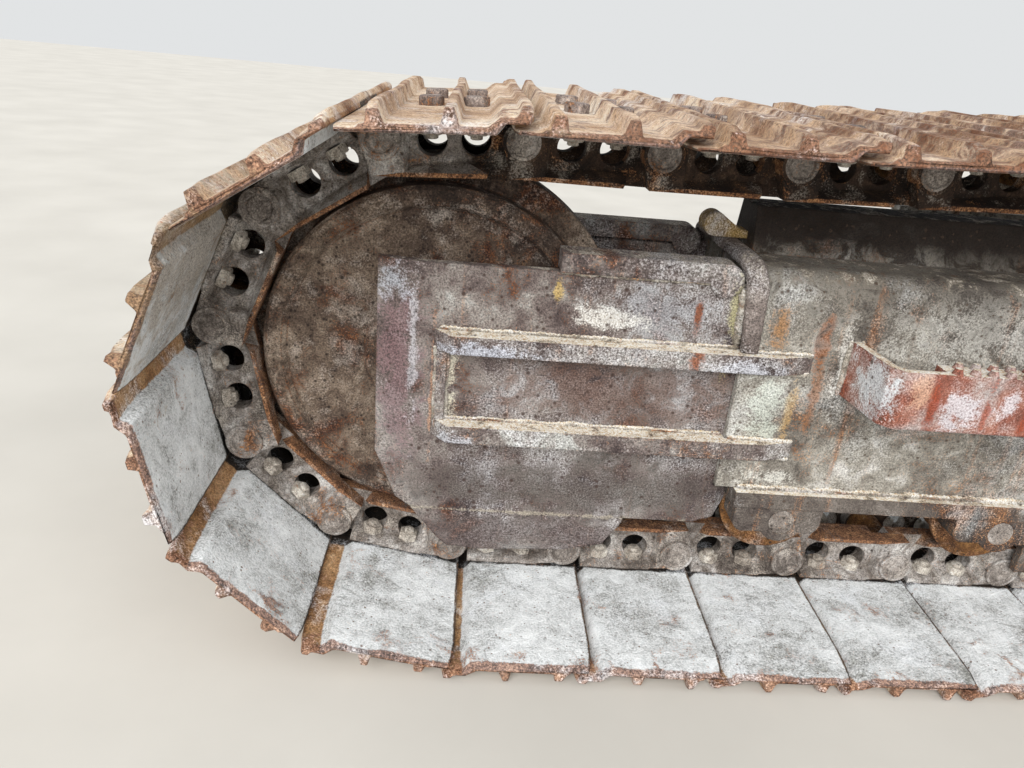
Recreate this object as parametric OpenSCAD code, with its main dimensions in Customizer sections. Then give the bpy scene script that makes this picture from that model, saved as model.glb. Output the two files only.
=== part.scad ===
// Crawler track unit of a mid-size digging machine: side frame, idler, rollers, final drive and shoe chain
// Millimetres. +X runs to the drive end, -Y is the outboard side, +Z is up
// The origin is the middle of the bolted face that joins the unit to the machine's body

/* [Chain] */
// Distance from one chain pin to the next
pitch = 171.45; // [166:0.05:177]
// Links and shoes in the loop
link_count = 44; // [42:1:46]
// Part of a link by which a pin has passed the idler's lowest point
pin_phase = 0.203; // [0:0.001:0.99]
// Radius of a chain pin
pin_r = 16.5; // [15:0.1:18]
// Half of a pin's length
pin_half = 86; // [84:0.5:90]
// Radius of the boss round a pin's outer end
boss_r = 25; // [23:0.5:26]
// Radius of a bushing
bushing_r = 24.5; // [22:0.1:26]
// Height of the rail over the pins
rail_h = 44; // [42:0.5:47]
// Depth of a link's foot under the pins
foot_h = 29; // [28:0.5:32]
// Half of the clear width between the inner link plates
throat_half = 38; // [36:0.5:39]
// Rise of the top run at the carrier roller
carrier_lift = 40; // [20:1:50]
// Sag of the top run between the idler and the carrier roller
sag_front = 16; // [6:1:22]
// Sag of the top run between the carrier roller and the sprocket
sag_rear = 22; // [8:1:30]

/* [Shoes] */
// Width of a shoe
shoe_w = 600; // [500:10:700]
// Thickness of a shoe's plate
shoe_t = 9; // [7:0.5:11]
// Depth of the bars' tips under the pins
tip_h = 58; // [54:0.5:64]
// How far a shoe's thin edge lies past the next pin
lap = 22; // [16:0.5:23]

/* [Idler and drive] */
// Teeth that would fill the sprocket, of which a link uses every second space
teeth_count = 21; // [21:2:21]
// Gap between the idler's tread and the rails
tread_gap = 5.2; // [5:0.1:8]
// Half of the idler's width
idler_half = 70; // [62:1:72]
// Radius of the idler's axle
axle_r = 40; // [34:0.5:44]
// Radius of the final drive's case
drive_r = 168; // [150:1:180]
// Reach of the final drive outboard of the chain's middle
drive_out = 138; // [124:1:150]

/* [Rollers] */
// Track rollers under the frame
roller_count = 7; // [6:1:7]
// Distance from the last track roller to the frame's rear end
roller_rear = 85.552; // [80:1:95]
// Place of the first track roller behind the idler's axle
roller_first = 495; // [485:1:510]
// Radius of a track roller's tread
roller_r = 63.7; // [58:0.1:68]
// Height of a roller's flange over its tread
roller_flange = 9; // [6:0.5:11]
// Place of the carrier roller behind the idler's axle
carrier_x = 1330; // [1290:1:1380]
// Radius of the carrier roller
carrier_r = 55; // [48:1:58]
// Radius of a track roller's shaft
shaft_r = 18; // [15:0.5:18.5]

/* [Side frame] */
// Outer half width of the side frame
frame_half = 132; // [128:1:136]
// Place of the access cover behind the frame's high part
cover_back = 80; // [76:1:100]
// Height of the access cover's middle
cover_z = 320; // [310:1:330]
// Distance from the frame's rear end to the sprocket's axle
frame_tail = 370; // [360:1:380]
// How far the roller bars stand out from the frame's wall
bar_lip = 14; // [10:1:18]
// Plate thickness of the side frame
frame_t = 14; // [10:1:18]
// Front end of the side frame behind the idler's axle
frame_front = 395; // [390:1:400]
// Length of the frame's high front part
frame_high = 735; // [700:1:780]
// Height of the high front part's shoulders over the bottom pins
shoulder_z = 460; // [452:1:468]
// Height of the ridge between the shoulders
roof_z = 520; // [512:1:524]
// Height of the low roof over the bottom pins
deck_z = 440; // [420:1:450]
// Thickness of the bars that carry the track rollers
bar_t = 23.7; // [20:0.1:26]

/* [Idler guard] */
// Distance of the guard's face from the chain's middle
guard_face = 122; // [120:0.5:125]
// Thickness of the guard's plate
guard_t = 14; // [10:0.5:15]
// Reach of the ribs past the guard's face
rib_out = 26; // [16:1:34]
// Thickness of a rib
rib_t = 24; // [18:1:30]
// Height of the upper rib's top over the bottom pins
rib_top = 352; // [346:1:358]
// How far the ribs run along the frame's wall
rib_tail = 92; // [70:1:94]
// Height from the lower rib to the upper one
rib_gap = 124; // [110:1:140]

/* [Step] */
// Distance of the step's outer face from the chain's middle
step_out = 230; // [200:1:260]
// Height of the step's lower edge over the bottom pins
step_z = 302; // [294:1:310]
// Height of the step's bar
step_h = 74; // [60:1:84]
// Length of the step along the frame
step_len = 520; // [420:10:560]

/* [Body joint] */
// Distance of the bolted face from the chain's middle
joint_out = 430; // [400:1:480]
// Half length of the joint plate
joint_half = 600; // [580:1:640]
// Radius of the joint's bolt holes
joint_hole_r = 13; // [11:0.5:14]
// Distance between the outer bolts along the plate
bolts_outer = 1110; // [1090:5:1120]
// Distance between the inner bolts along the plate
bolts_inner = 470; // [440:5:480]
// Distance between the bolts' upper and lower rows
bolts_rows = 220; // [200:5:230]

/* [Hidden] */
$fn = 72;

// Gap where one piece seats on another
seat = 0.3;
// Turn of one link on a wheel, the radius of the pin circle, and the links on half a wheel
turn = 720 / teeth_count;
wheel_r = pitch / (2 * sin(turn / 2));
arc_links = 180 / turn;
// The two wheels' distance, from the loop's length less what the top run's sag takes up
run_guess = (link_count - 2 * arc_links) * pitch / 2;
tail_guess = run_guess - carrier_x;
lift_extra = carrier_lift * carrier_lift * (1 / carrier_x + 1 / tail_guess) / 2;
sag_extra = 8 / 3 * (sag_front * sag_front / carrier_x + sag_rear * sag_rear / tail_guess);
centres = run_guess - (lift_extra + sag_extra) / 2;
// Links counted along the loop from the idler's lowest point, first along the bottom
t_bottom = centres / pitch;
t_drive = t_bottom + arc_links;
t_top = link_count - arc_links;

// Height of the top run's pins at a place behind the idler
function front_z(v) = carrier_lift * v - 4 * sag_front * v * (1 - v);
function rear_z(v) = carrier_lift * (1 - v) - 4 * sag_rear * v * (1 - v);
function top_z(x) = 2 * wheel_r + (x < carrier_x
    ? front_z(x / carrier_x)
    : rear_z((x - carrier_x) / (centres - carrier_x)));
// Places of a pin on the four parts of the loop
function on_drive(a) = [centres + wheel_r * sin(a), wheel_r * (1 - cos(a))];
function on_top(x) = [x, top_z(x)];
function on_idler(a) = [-wheel_r * sin(a), wheel_r * (1 + cos(a))];
function pin_at(t) =
    t < t_bottom ? [t * pitch, 0] :
    t < t_drive ? on_drive((t - t_bottom) * turn) :
    t < t_top ? on_top(centres * (t_top - t) / (t_top - t_drive)) :
    on_idler((t - t_top) * turn);
pins = [for (k = [0 : link_count - 1]) pin_at(k + pin_phase)];

// A link's angle, and its first pin's place when the link is centred between its two pins
function link_turn(k) = let (a = pins[k], b = pins[(k + 1) % link_count]) atan2(b.y - a.y, b.x - a.x);
function link_place(k) = let (a = pins[k], b = pins[(k + 1) % link_count], w = link_turn(k))
    (a + b) / 2 - pitch / 2 * [cos(w), sin(w)];
// Where the line from a corner touches a round boss at the origin
function touch(corner, r, side) =
    let (far = norm(corner), w = atan2(corner.y, corner.x) - side * acos(r / far)) [r * cos(w), r * sin(w)];

// Radius of the boss round a bushing's end
bush_boss_r = 27;
roller_z = rail_h + seat + roller_r;
bar_top = roller_z + 45;
wall_z = bar_top + seat;
web_z = roller_z + roller_r + roller_flange + 10;
frame_step = frame_front + frame_high;
frame_end = centres - frame_tail;
// Distance between track rollers
roller_pitch = (frame_end - roller_rear - roller_first) / (roller_count - 1);
tread_r = wheel_r * cos(turn / 2) - rail_h - tread_gap;
joint_x = centres / 2;
joint_z = 320;
rail_low = lookup(carrier_x, [for (k = [0 : link_count - 1]) if (pins[k].y > 1.9 * wheel_r) pins[k]]) - rail_h;
carrier_z = rail_low - 1.2 - carrier_r;

// Moves a piece from the idler's frame, whose zero is at the bottom pins, to the origin
module placed() {
    translate([-joint_x, -joint_out, -joint_z])
        children();
}

// Stands a flat outline up along the unit, with its thickness from y0 to y1
module across(y0, y1) {
    translate([0, y1, 0])
        rotate([90, 0, 0])
            linear_extrude(y1 - y0)
                children();
}

// Carries a cross-section along the unit from x0 to x1
module along(x0, x1) {
    translate([x0, 0, 0])
        rotate([90, 0, 90])
            linear_extrude(x1 - x0)
                children();
}

// A round bar across the unit
module round_bar(x, z, r, y0, y1) {
    translate([x, y1, z])
        rotate([90, 0, 0])
            cylinder(r = r, h = y1 - y0);
}

// A turned piece with its axis across the unit, from points of radius and place
module turned(x, z, points) {
    translate([x, 0, z])
        rotate([-90, 0, 0])
            rotate_extrude()
                polygon(points);
}

// Both sides of a piece
module both_sides() {
    children();
    mirror([0, 1, 0])
        children();
}

// Cross-section of the frame under a flat top at z, grown by o, and of the ridge on the high front part
function half_box(z, o) = concat(
    [[frame_half + o, wall_z]],
    [for (a = [0 : 10 : 90]) [frame_half - 30 + (30 + o) * cos(a), z - 30 + (30 + o) * sin(a)]]);
function half_ridge(o) = [[44 + o, shoulder_z - frame_t - 2], [44 + o, shoulder_z + o], [30 + 0.8 * o, roof_z + o]];
function whole(half) = concat(half, [for (k = [len(half) - 1 : -1 : 0]) [-half[k].x, half[k].y]]);

module high_section(o) {
    polygon(whole(half_box(shoulder_z, o)));
}

module ridge_section(o) {
    polygon(whole(half_ridge(o)));
}

module low_section(o) {
    polygon(whole(half_box(deck_z, o)));
}

// Side frame: a hollow box, high over the recoil spring and low behind it, open between the roller bars
module side_frame() {
    color("#8b8477") placed() {
        difference() {
            union() {
                along(frame_front, frame_step)
                    high_section(0);
                along(frame_front + 16, frame_step)
                    ridge_section(0);
                along(frame_step, frame_end)
                    low_section(0);
            }
            difference() {
                union() {
                    along(frame_front + 16, frame_step - frame_t)
                        high_section(-frame_t);
                    along(frame_front + 16 + frame_t, frame_step - frame_t)
                        ridge_section(-frame_t);
                    along(frame_step - frame_t - 1, frame_end - 16)
                        low_section(-frame_t);
                }
                translate([0, -frame_half, web_z])
                    cube([centres, 2 * frame_half, frame_t]);
            }
            translate([frame_front - 1, frame_t - frame_half, wall_z - 1])
                cube([frame_end - frame_front + 2, 2 * (frame_half - frame_t), web_z - wall_z + 1]);
        }
    }
}

// Bars along the frame's lower edges that the rollers hang from
module roller_bars() {
    color("#6f665c") placed()
        both_sides()
            translate([frame_front + 26, -frame_half - bar_lip, bar_top - bar_t])
                cube([frame_end - frame_front - 40, 45, bar_t]);
}

// Raised rim round the frame's front end, above the upper rib, standing forward of the frame
module frame_mouth() {
    color("#8d8478") placed()
        difference() {
            along(frame_front - 14, frame_front + 12)
                high_section(12);
            along(frame_front - 15, frame_front + 13)
                high_section(seat);
            translate([frame_front - 20, -200, 0])
                cube([40, 400, rib_top + seat]);
        }
}

// Rounded lug on the rim, before the ridge, its nose over the idler's fork
module frame_lug() {
    color("#a08a5c") placed()
        translate([frame_front, 0, shoulder_z + 12 + seat])
            across(-14, 16)
                polygon(concat(
                    [[16 - seat, 0]],
                    [for (a = [270 : -15 : 45]) [-30 + 16 * cos(a), 16 + 16 * sin(a)]],
                    [[4, 12], [16 - seat, 10]]));
}

// Outlines of the idler guard: the main plate, the front edge that bends in, and the lower strip
module guard_plate() {
    top_z = 438;
    fold_z = 87;
    back_x = frame_front - seat;
    strip_end = frame_front - 37;
    // Main plate with the front band
    intersection() {
        linear_extrude(500)
            polygon([
                [-74, -guard_face + 12], [-20, -guard_face], [back_x, -guard_face],
                [back_x, guard_t - guard_face], [-18, guard_t - guard_face], [-74, guard_t + 12 - guard_face]]);
        across(-200, 0)
            polygon([[-74, top_z - 2], [-74, 168], [-44, 100], [-20, fold_z], [back_x - 18, fold_z],
                [back_x, fold_z + 8], [back_x, top_z]]);
    }
    // Lower strip, leaning in towards the chain
    intersection() {
        along(-30, 300)
            polygon([
                [-guard_face, fold_z + 0.01], [12 - guard_face, 12], [12 + guard_t - guard_face, 12],
                [guard_t - guard_face, fold_z + 0.01]]);
        across(-200, 0)
            polygon([[-22, fold_z + 5], [-22, fold_z], [16, 34], [30, 20], [80, 15], [200, 22], [254, 36], [276, 78],
                [278, fold_z + 5]]);
    }
    // Thick upper edge at the back, rounded at its rear end
    translate([150, -guard_face - 6, top_z - 1])
        cube([strip_end - 149, 38, 25]);
    translate([strip_end, 32 - guard_face, top_z + 3])
        rotate([90, 0, 0])
            cylinder(r = 21, h = 38);
    // Tail under the frame's wall, its rear edge bent in
    intersection() {
        linear_extrude(500)
            polygon([
                [back_x - 1, -guard_face], [back_x + 8, -guard_face], [back_x + 24, 12 - guard_face],
                [back_x + 24, 12 + guard_t - guard_face], [back_x + 4, guard_t - guard_face],
                [back_x - 1, guard_t - guard_face]]);
        across(-200, 0)
            polygon([
                [back_x - 1, fold_z + 6], [back_x + 10, fold_z + 12], [back_x + 24, bar_top - bar_t - 6],
                [back_x + 24, wall_z - 5], [back_x - 1, wall_z - 5]]);
    }
}

module guard_outboard() {
    color("#7b6a68") placed()
        guard_plate();
}

module guard_inboard() {
    color("#7b6a68") placed()
        mirror([0, 1, 0])
            guard_plate();
}

// Two bars along the guard's face, running on to the frame's wall, and the low bar that joins their front ends
module guard_ribs() {
    color("#b3a283") placed() {
        for (top = [rib_top, rib_top - rib_gap])
            translate([0, 0, top - rib_t])
                linear_extrude(rib_t)
                    polygon([
                        [0, -guard_face - seat], [22, -guard_face - rib_out], [440, -guard_face - rib_out],
                        [frame_front + rib_tail, -frame_half - seat - 1], [frame_front + rib_tail, -frame_half - seat],
                        [frame_front - 2, -frame_half - seat], [frame_front - 2, -guard_face - seat]]);
        translate([4, -guard_face - 7, rib_top - rib_gap - rib_t / 2])
            cube([13, 7 - seat, rib_gap]);
    }
}

// Idler: tread, middle flange and dished sides
module idler() {
    flange_r = wheel_r - bushing_r - 6;
    color("#5d4a44") placed()
        difference() {
            turned(0, wheel_r, [
                [0, -70], [92, -70], [96, 8 - idler_half], [tread_r - 30, 8 - idler_half],
                [tread_r - 24, -idler_half], [tread_r - 5, -idler_half], [tread_r, 5 - idler_half],
                [tread_r, 5.5 - throat_half], [flange_r, 14 - throat_half], [flange_r, throat_half - 14],
                [tread_r, throat_half - 5.5], [tread_r, idler_half - 5],
                [tread_r - 5, idler_half], [tread_r - 24, idler_half], [tread_r - 30, idler_half - 8],
                [96, idler_half - 8], [92, 70], [0, 70]]);
            round_bar(0, wheel_r, axle_r + 0.05, -80, 80);
        }
}

module idler_axle() {
    color("#7d7a76") placed()
        round_bar(0, wheel_r, axle_r, -102, 102);
}

// Blocks that hold the axle and slide between the guide bars
module axle_blocks() {
    color("#6a6058") placed()
        both_sides()
            difference() {
                union() {
                    translate([-65, -97, wheel_r - 58])
                        cube([130, 22, 116]);
                    translate([-14, -guard_face + guard_t + seat, wheel_r - 58])
                        cube([79, 20, 116]);
                }
                round_bar(0, wheel_r, axle_r + 0.2, -110, -70);
            }
}

// Bars that guide the axle blocks and carry the guards
module guide_bars() {
    color("#6a6058") placed()
        both_sides()
            for (z = [wheel_r - 58 - seat - 22, wheel_r + 58 + seat])
                translate([-14, seat + guard_t - guard_face, z])
                    cube([frame_front - seat + 14, 22, 22]);
}

// Fork that pushes the axle blocks, and the rod behind it
module idler_yoke() {
    flange_r = wheel_r - bushing_r - 6;
    color("#6a6058") placed() {
        both_sides()
            translate([65 + seat, -105, wheel_r - 30])
                cube([flange_r + 30 - 65, 20, 60]);
        translate([flange_r + 8, -105, wheel_r - 50])
            cube([26, 210, 100]);
        translate([flange_r + 30, 0, wheel_r])
            rotate([0, 90, 0])
                cylinder(r = 34, h = frame_front - seat - flange_r - 30);
    }
}

function roller_x(k) = roller_first + k * roller_pitch;

module track_rollers() {
    color("#6b5138") placed()
        for (k = [0 : roller_count - 1])
            difference() {
                turned(roller_x(k), roller_z, [
                    [0, -99], [40, -99], [44, -98], [roller_r + roller_flange - 3, -98],
                    [roller_r + roller_flange, -96], [roller_r + roller_flange, -88], [roller_r, -83.5],
                    [roller_r, -36], [46, -30], [46, 30], [roller_r, 36], [roller_r, 83.5],
                    [roller_r + roller_flange, 88], [roller_r + roller_flange, 96],
                    [roller_r + roller_flange - 3, 98], [44, 98], [40, 99], [0, 99]]);
                round_bar(roller_x(k), roller_z, shaft_r + 0.5, -110, 110);
            }
}

module roller_shafts() {
    color("#75706a") placed()
        for (k = [0 : roller_count - 1])
            round_bar(roller_x(k), roller_z, shaft_r, -144, 144);
}

// End pieces that hold a roller's shaft under the bars
module roller_collars() {
    top = bar_top - bar_t - seat;
    low = roller_z - 17;
    color("#6f665c") placed()
        both_sides()
            for (k = [0 : roller_count - 1])
                difference() {
                    union() {
                        translate([roller_x(k) - 69, -144, low + 16])
                            cube([124, 43.5, top - low - 16]);
                        translate([roller_x(k) - 53, -144, low])
                            cube([92, 43.5, 20]);
                        round_bar(roller_x(k) - 53, low + 16, 16, -144, -100.5);
                        round_bar(roller_x(k) + 39, low + 16, 16, -144, -100.5);
                        round_bar(roller_x(k), roller_z, 31, -144, -100.5);
                    }
                    translate([roller_x(k) - 50, -150, top])
                        cube([100, 60, 40]);
                    round_bar(roller_x(k), roller_z, shaft_r + seat, -150, -90);
                }
}

module carrier_roller() {
    color("#6b5138") placed()
        difference() {
            turned(carrier_x, carrier_z, [
                [0, -84], [carrier_r - 8, -84], [carrier_r, -80], [carrier_r, -36], [carrier_r - 12, -30],
                [carrier_r - 12, 30], [carrier_r, 36], [carrier_r, 80], [carrier_r - 8, 84], [0, 84]]);
            round_bar(carrier_x, carrier_z, 22.5, -90, 130);
        }
}

// Post on the low roof that holds the carrier roller's shaft
module carrier_bracket() {
    color("#6f665c") placed() {
        round_bar(carrier_x, carrier_z, 22, -80, 128);
        translate([carrier_x - 40, 90, deck_z + seat])
            cube([80, 34, carrier_z - deck_z]);
        round_bar(carrier_x, carrier_z, 40, 90, 124);
    }
}

// Sprocket: one link takes every second space
module sprocket() {
    start = (ceil(t_bottom - pin_phase) + pin_phase - t_bottom) * turn - 90;
    color("#5f5249") placed()
        translate([centres, 0, wheel_r])
            rotate([90, 0, 0])
                difference() {
                    translate([0, 0, -22])
                        linear_extrude(44)
                            difference() {
                                union() {
                                    circle(r = wheel_r - bushing_r + 8);
                                    for (k = [0 : teeth_count - 1])
                                        rotate(start + (k + 0.5) * 360 / teeth_count)
                                            polygon([[220, -30], [wheel_r - 12, -20], [wheel_r + 9, -8],
                                                [wheel_r + 9, 8], [wheel_r - 12, 20], [220, 30]]);
                                }
                                for (k = [0 : teeth_count - 1])
                                    rotate(start + k * 360 / teeth_count)
                                        translate([wheel_r, 0])
                                            circle(r = bushing_r + 0.6, $fn = 36);
                                circle(r = drive_r - 18 + seat);
                            }
                    // Recesses that leave a thinner web
                    for (side = [-1, 1])
                        translate([0, 0, side * 20 - 10])
                            difference() {
                                cylinder(r = wheel_r - bushing_r - 24, h = 20);
                                translate([0, 0, -1])
                                    cylinder(r = drive_r + 6, h = 22);
                            }
                }
}

// Final drive: the stepped case that turns the sprocket
module final_drive() {
    color("#77706a") placed()
        turned(centres, wheel_r, [
            [0, 40], [drive_r - 18, 40], [drive_r - 18, -22 - seat], [drive_r + 8, -22 - seat],
            [drive_r + 8, -40], [drive_r - 6, -46], [drive_r - 6, -92], [drive_r, -96], [drive_r, -110],
            [drive_r - 20, -112], [0, -112]]);
}

module drive_cover() {
    color("#77706a") placed()
        turned(centres, wheel_r, [
            [0, -112 - seat], [drive_r - 30, -112 - seat], [drive_r - 30, -122], [drive_r - 60, -drive_out + 4],
            [drive_r - 66, -drive_out], [0, -drive_out]]);
}

// Plate behind the sprocket that carries the final drive and motor from the frame's end
module drive_bracket() {
    ring_r = wheel_r - rail_h - 30;
    color("#8b8477") placed()
        difference() {
            union() {
                across(44, 76)
                    difference() {
                        union() {
                            translate([centres, wheel_r])
                                circle(r = ring_r);
                            polygon([[frame_end + seat, web_z], [frame_end + seat, deck_z - 10],
                                [centres, wheel_r + ring_r], [centres, wheel_r - ring_r]]);
                        }
                        translate([centres, wheel_r])
                            circle(r = 110);
                    }
                // Gusset plates that close the step between frame and plate
                translate([frame_end + seat, -frame_half + 20, web_z + 10])
                    cube([60, frame_half + 30, 16]);
                translate([frame_end + seat, -frame_half + 20, deck_z - 50])
                    cube([60, frame_half + 30, 16]);
            }
        }
}

// Travel motor with its valve block and oil ports
module travel_motor() {
    color("#4c4a48") placed()
        difference() {
            union() {
                turned(centres, wheel_r, [
                    [0, 76 + seat], [150, 76 + seat], [150, 96], [122, 104], [122, 214], [96, 226], [96, 252],
                    [60, 262], [0, 262]]);
                translate([centres - 70, 150, wheel_r + 80])
                    cube([140, 84, 84]);
            }
            for (x = [-38, 38])
                round_bar(centres + x, wheel_r + 140, 12, 214, 240);
        }
}

// Shield round the motor, open to the front for the hoses
module motor_guard() {
    ring_r = wheel_r - rail_h - 34;
    color("#8b8477") placed()
        difference() {
            round_bar(centres, wheel_r, ring_r, 76 + seat, 290);
            round_bar(centres, wheel_r, ring_r - 10, 70, 280);
            round_bar(centres, wheel_r, 172, 270, 300);
            translate([centres - 400, 60, wheel_r - 110])
                cube([400, 300, 400]);
        }
}

// Lays a piece drawn along a link, with its thickness across the chain, at link k
module at_link(k) {
    place = link_place(k);
    translate([place.x, 0, place.y])
        rotate([0, -link_turn(k), 0])
            rotate([90, 0, 0])
                children();
}

// Outlines of a link beside its bushing, between its ends, and round the next pin
module bushing_end() {
    corner = [-10, rail_h];
    polygon([corner, [50, rail_h], [50, -foot_h], [0, 1 - bush_boss_r], touch(corner, bush_boss_r - 1, -1)]);
}

module link_body() {
    polygon([
        [boss_r + 3, -foot_h], [boss_r + 3, 4], [boss_r + 19, rail_h], [pitch - 38, rail_h], [pitch - 38, -foot_h]]);
}

module pin_end() {
    corner = [12, rail_h];
    translate([pitch, 0])
        polygon([[-60, rail_h], corner, touch(corner, boss_r - 1, 1), [0, 1 - boss_r], [-60, -foot_h]]);
}

// Hollow outside a link's web, under the wide rail and over the wide foot, shallower towards the pin end
module link_hollow(floor, skin) {
    depth = skin - floor;
    intersection() {
        translate([0, rail_h + 1, 0])
            rotate([90, 0, 0])
                linear_extrude(rail_h + foot_h + 2)
                    polygon([
                        [20, floor], [70, floor], [pitch - 34, floor + 10], [pitch - 28, skin + 1], [20, skin + 1]]);
        rotate([0, 90, 0])
            linear_extrude(pitch)
                polygon([
                    [1 - floor, rail_h - 17 - 11.5 / depth], [-skin - 1, rail_h - 5.5 + 11.5 / depth],
                    [-skin - 1, 7 - foot_h - 11 / depth], [1 - floor, 18 - foot_h + 11 / depth]]);
    }
}

// Half of a link: bushing end inboard, pin end outboard, and two openings to the shoe's bolts
module link_half() {
    skin = pin_half - 5;
    joint = throat_half + 18.4;
    difference() {
        union() {
            translate([0, 0, throat_half])
                linear_extrude(joint - throat_half)
                    bushing_end();
            translate([0, 0, throat_half])
                cylinder(r = bush_boss_r, h = joint - throat_half);
            translate([0, 0, throat_half])
                linear_extrude(skin - throat_half)
                    link_body();
            translate([0, 0, joint + 0.6])
                linear_extrude(skin - joint - 0.6)
                    pin_end();
            translate([pitch, 0, joint + 0.6])
                cylinder(r = boss_r, h = pin_half - 1.6 - joint);
        }
        link_hollow(joint + 0.6, skin);
        for (s = [0.33 * pitch, 0.645 * pitch])
            translate([s, 2.5, throat_half - 1])
                cylinder(r = 18.5, h = skin - throat_half + 2);
        for (s = [0, pitch])
            translate([s, 0, throat_half - 1])
                cylinder(r = pin_r + 0.6, h = pin_half - throat_half + 2);
    }
}

module track_links_outboard() {
    color("#6e655e") placed()
        for (k = [0 : link_count - 1])
            at_link(k)
                link_half();
}

module track_links_inboard() {
    color("#6e655e") placed()
        for (k = [0 : link_count - 1])
            at_link(k)
                mirror([0, 0, 1])
                    link_half();
}

module track_pins() {
    color("#7a7472") placed()
        for (p = pins)
            round_bar(p.x, p.y, pin_r, -pin_half, pin_half);
}

module track_bushings() {
    color("#6b5138") placed()
        for (p = pins)
            difference() {
                round_bar(p.x, p.y, bushing_r, seat - throat_half, throat_half - seat);
                round_bar(p.x, p.y, pin_r + seat, -throat_half, throat_half);
            }
}

// Shoe: thick lapped edge with the first bar, two more bars, and a thin edge that lies over the next shoe
module shoe_outline() {
    face = foot_h + seat;
    under = face + shoe_t;
    lap_face = face + 12.2;
    polygon([
        [0, -lap_face], [24, -lap_face], [34, -face], [pitch + lap, -face], [pitch + lap, 1 - face - 5],
        [pitch + lap - 1, -face - 5], [pitch + 2, -face - 5], [pitch - 4, -under], [164, -under], [158, -tip_h],
        [150, -tip_h], [144, -under], [90, -under], [84, -tip_h], [76, -tip_h], [70, -under], [42, -under],
        [30, -lap_face - shoe_t], [14, -lap_face - shoe_t], [10, -tip_h], [2, -tip_h], [0, 4 - tip_h]]);
}

module track_shoes() {
    color("#b9aea4") placed()
        for (k = [0 : link_count - 1])
            at_link(k)
                translate([0, 0, -shoe_w / 2])
                    linear_extrude(shoe_w)
                        shoe_outline();
}

// Guides that keep the bottom run in line between the rollers
module chain_guides() {
    top = bar_top - bar_t - seat;
    color("#6f665c") placed()
        both_sides()
            for (k = [1, roller_count - 3])
                translate([roller_x(k) + roller_pitch / 2 - 85, 0, 0]) {
                    translate([0, -140, top - 16])
                        cube([170, 46, 16]);
                    translate([0, -106, 18])
                        cube([170, 12, top - 18]);
                }
}

// Step: a bent bar standing off the frame, with a stay in its middle and a studded ledge to tread on
module step() {
    x0 = frame_front + (rib_tail + frame_high - 47 - step_len) / 2;
    x1 = x0 + step_len;
    base = -frame_half - seat;
    color("#9c4f3a") placed() {
        translate([0, 0, step_z])
            linear_extrude(step_h)
                polygon([
                    [x0 + 8, base], [x0 + 18, 14 - step_out], [x0 + 32, -step_out], [x1 - 32, -step_out],
                    [x1 - 18, 14 - step_out], [x1 - 8, base], [x1 - 19, base], [x1 - 28, 18 - step_out],
                    [x1 - 36, 10 - step_out], [x0 + 36, 10 - step_out], [x0 + 28, 18 - step_out],
                    [x0 + 19, base]]);
        translate([(x0 + x1) / 2 - 6, 9 - step_out, step_z + 8])
            cube([12, step_out - 9 + base, step_h - 20]);
        translate([x0 + 84, 9 - step_out, step_z + step_h - 8])
            cube([step_len - 168, 24, 8]);
        // Two rows of studs along the ledge
        for (row = [0, 1], x = [x0 + 95 + 11 * row : 22 : x1 - 90])
            translate([x, 6 + 19 * row - step_out, step_z + step_h - 1])
                cylinder(r1 = 7, r2 = 4, h = 8, $fn = 16);
    }
}

// Cover over the grease valve of the chain's adjuster
module access_cover() {
    color("#8b8477") placed()
        across(-frame_half - seat - 8, -frame_half - seat)
            translate([frame_step + cover_back, cover_z])
                union() {
                    square([110, 130], center = true);
                    for (side = [-1, 1])
                        translate([side * 55, 0])
                            circle(r = 65);
                }
}

// Two hollow legs from the frame to the body's joint plate
module body_legs() {
    y0 = frame_half + seat;
    y1 = joint_out - 30 - seat;
    color("#8b8477") placed()
        for (x = [joint_x - 395, joint_x + 395])
            difference() {
                along(x - 110, x + 110)
                    polygon([[y0, web_z + 10], [y1, joint_z - 100], [y1, joint_z + 100], [y0, deck_z - 34]]);
                along(x - 98, x + 98)
                    polygon([[y0 + 12, web_z + 24], [y1 - 12, joint_z - 86], [y1 - 12, joint_z + 86],
                        [y0 + 12, deck_z - 48]]);
            }
}

// Joint plate with its bolt holes
module body_joint() {
    color("#8b8477") placed()
        difference() {
            translate([joint_x - joint_half, joint_out - 30, joint_z - 150])
                cube([2 * joint_half, 30, 300]);
            for (dx = [bolts_outer / 2, bolts_inner / 2])
                for (sx = [-1, 1])
                    for (sz = [-1, 1])
                        round_bar(joint_x + sx * dx, joint_z + sz * bolts_rows / 2, joint_hole_r,
                            joint_out - 40, joint_out + 10);
        }
}

side_frame();
roller_bars();
frame_mouth();
frame_lug();
guard_outboard();
guard_inboard();
guard_ribs();
idler();
idler_axle();
axle_blocks();
guide_bars();
idler_yoke();
track_rollers();
roller_shafts();
roller_collars();
carrier_roller();
carrier_bracket();
sprocket();
final_drive();
drive_cover();
drive_bracket();
travel_motor();
motor_guard();
track_pins();
track_bushings();
track_links_outboard();
track_links_inboard();
track_shoes();
chain_guides();
step();
access_cover();
body_legs();
body_joint();
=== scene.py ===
from statistics import NormalDist
import bpy
import numpy as np
from mathutils import Matrix, Vector
from mathutils.geometry import tessellate_polygon


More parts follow.
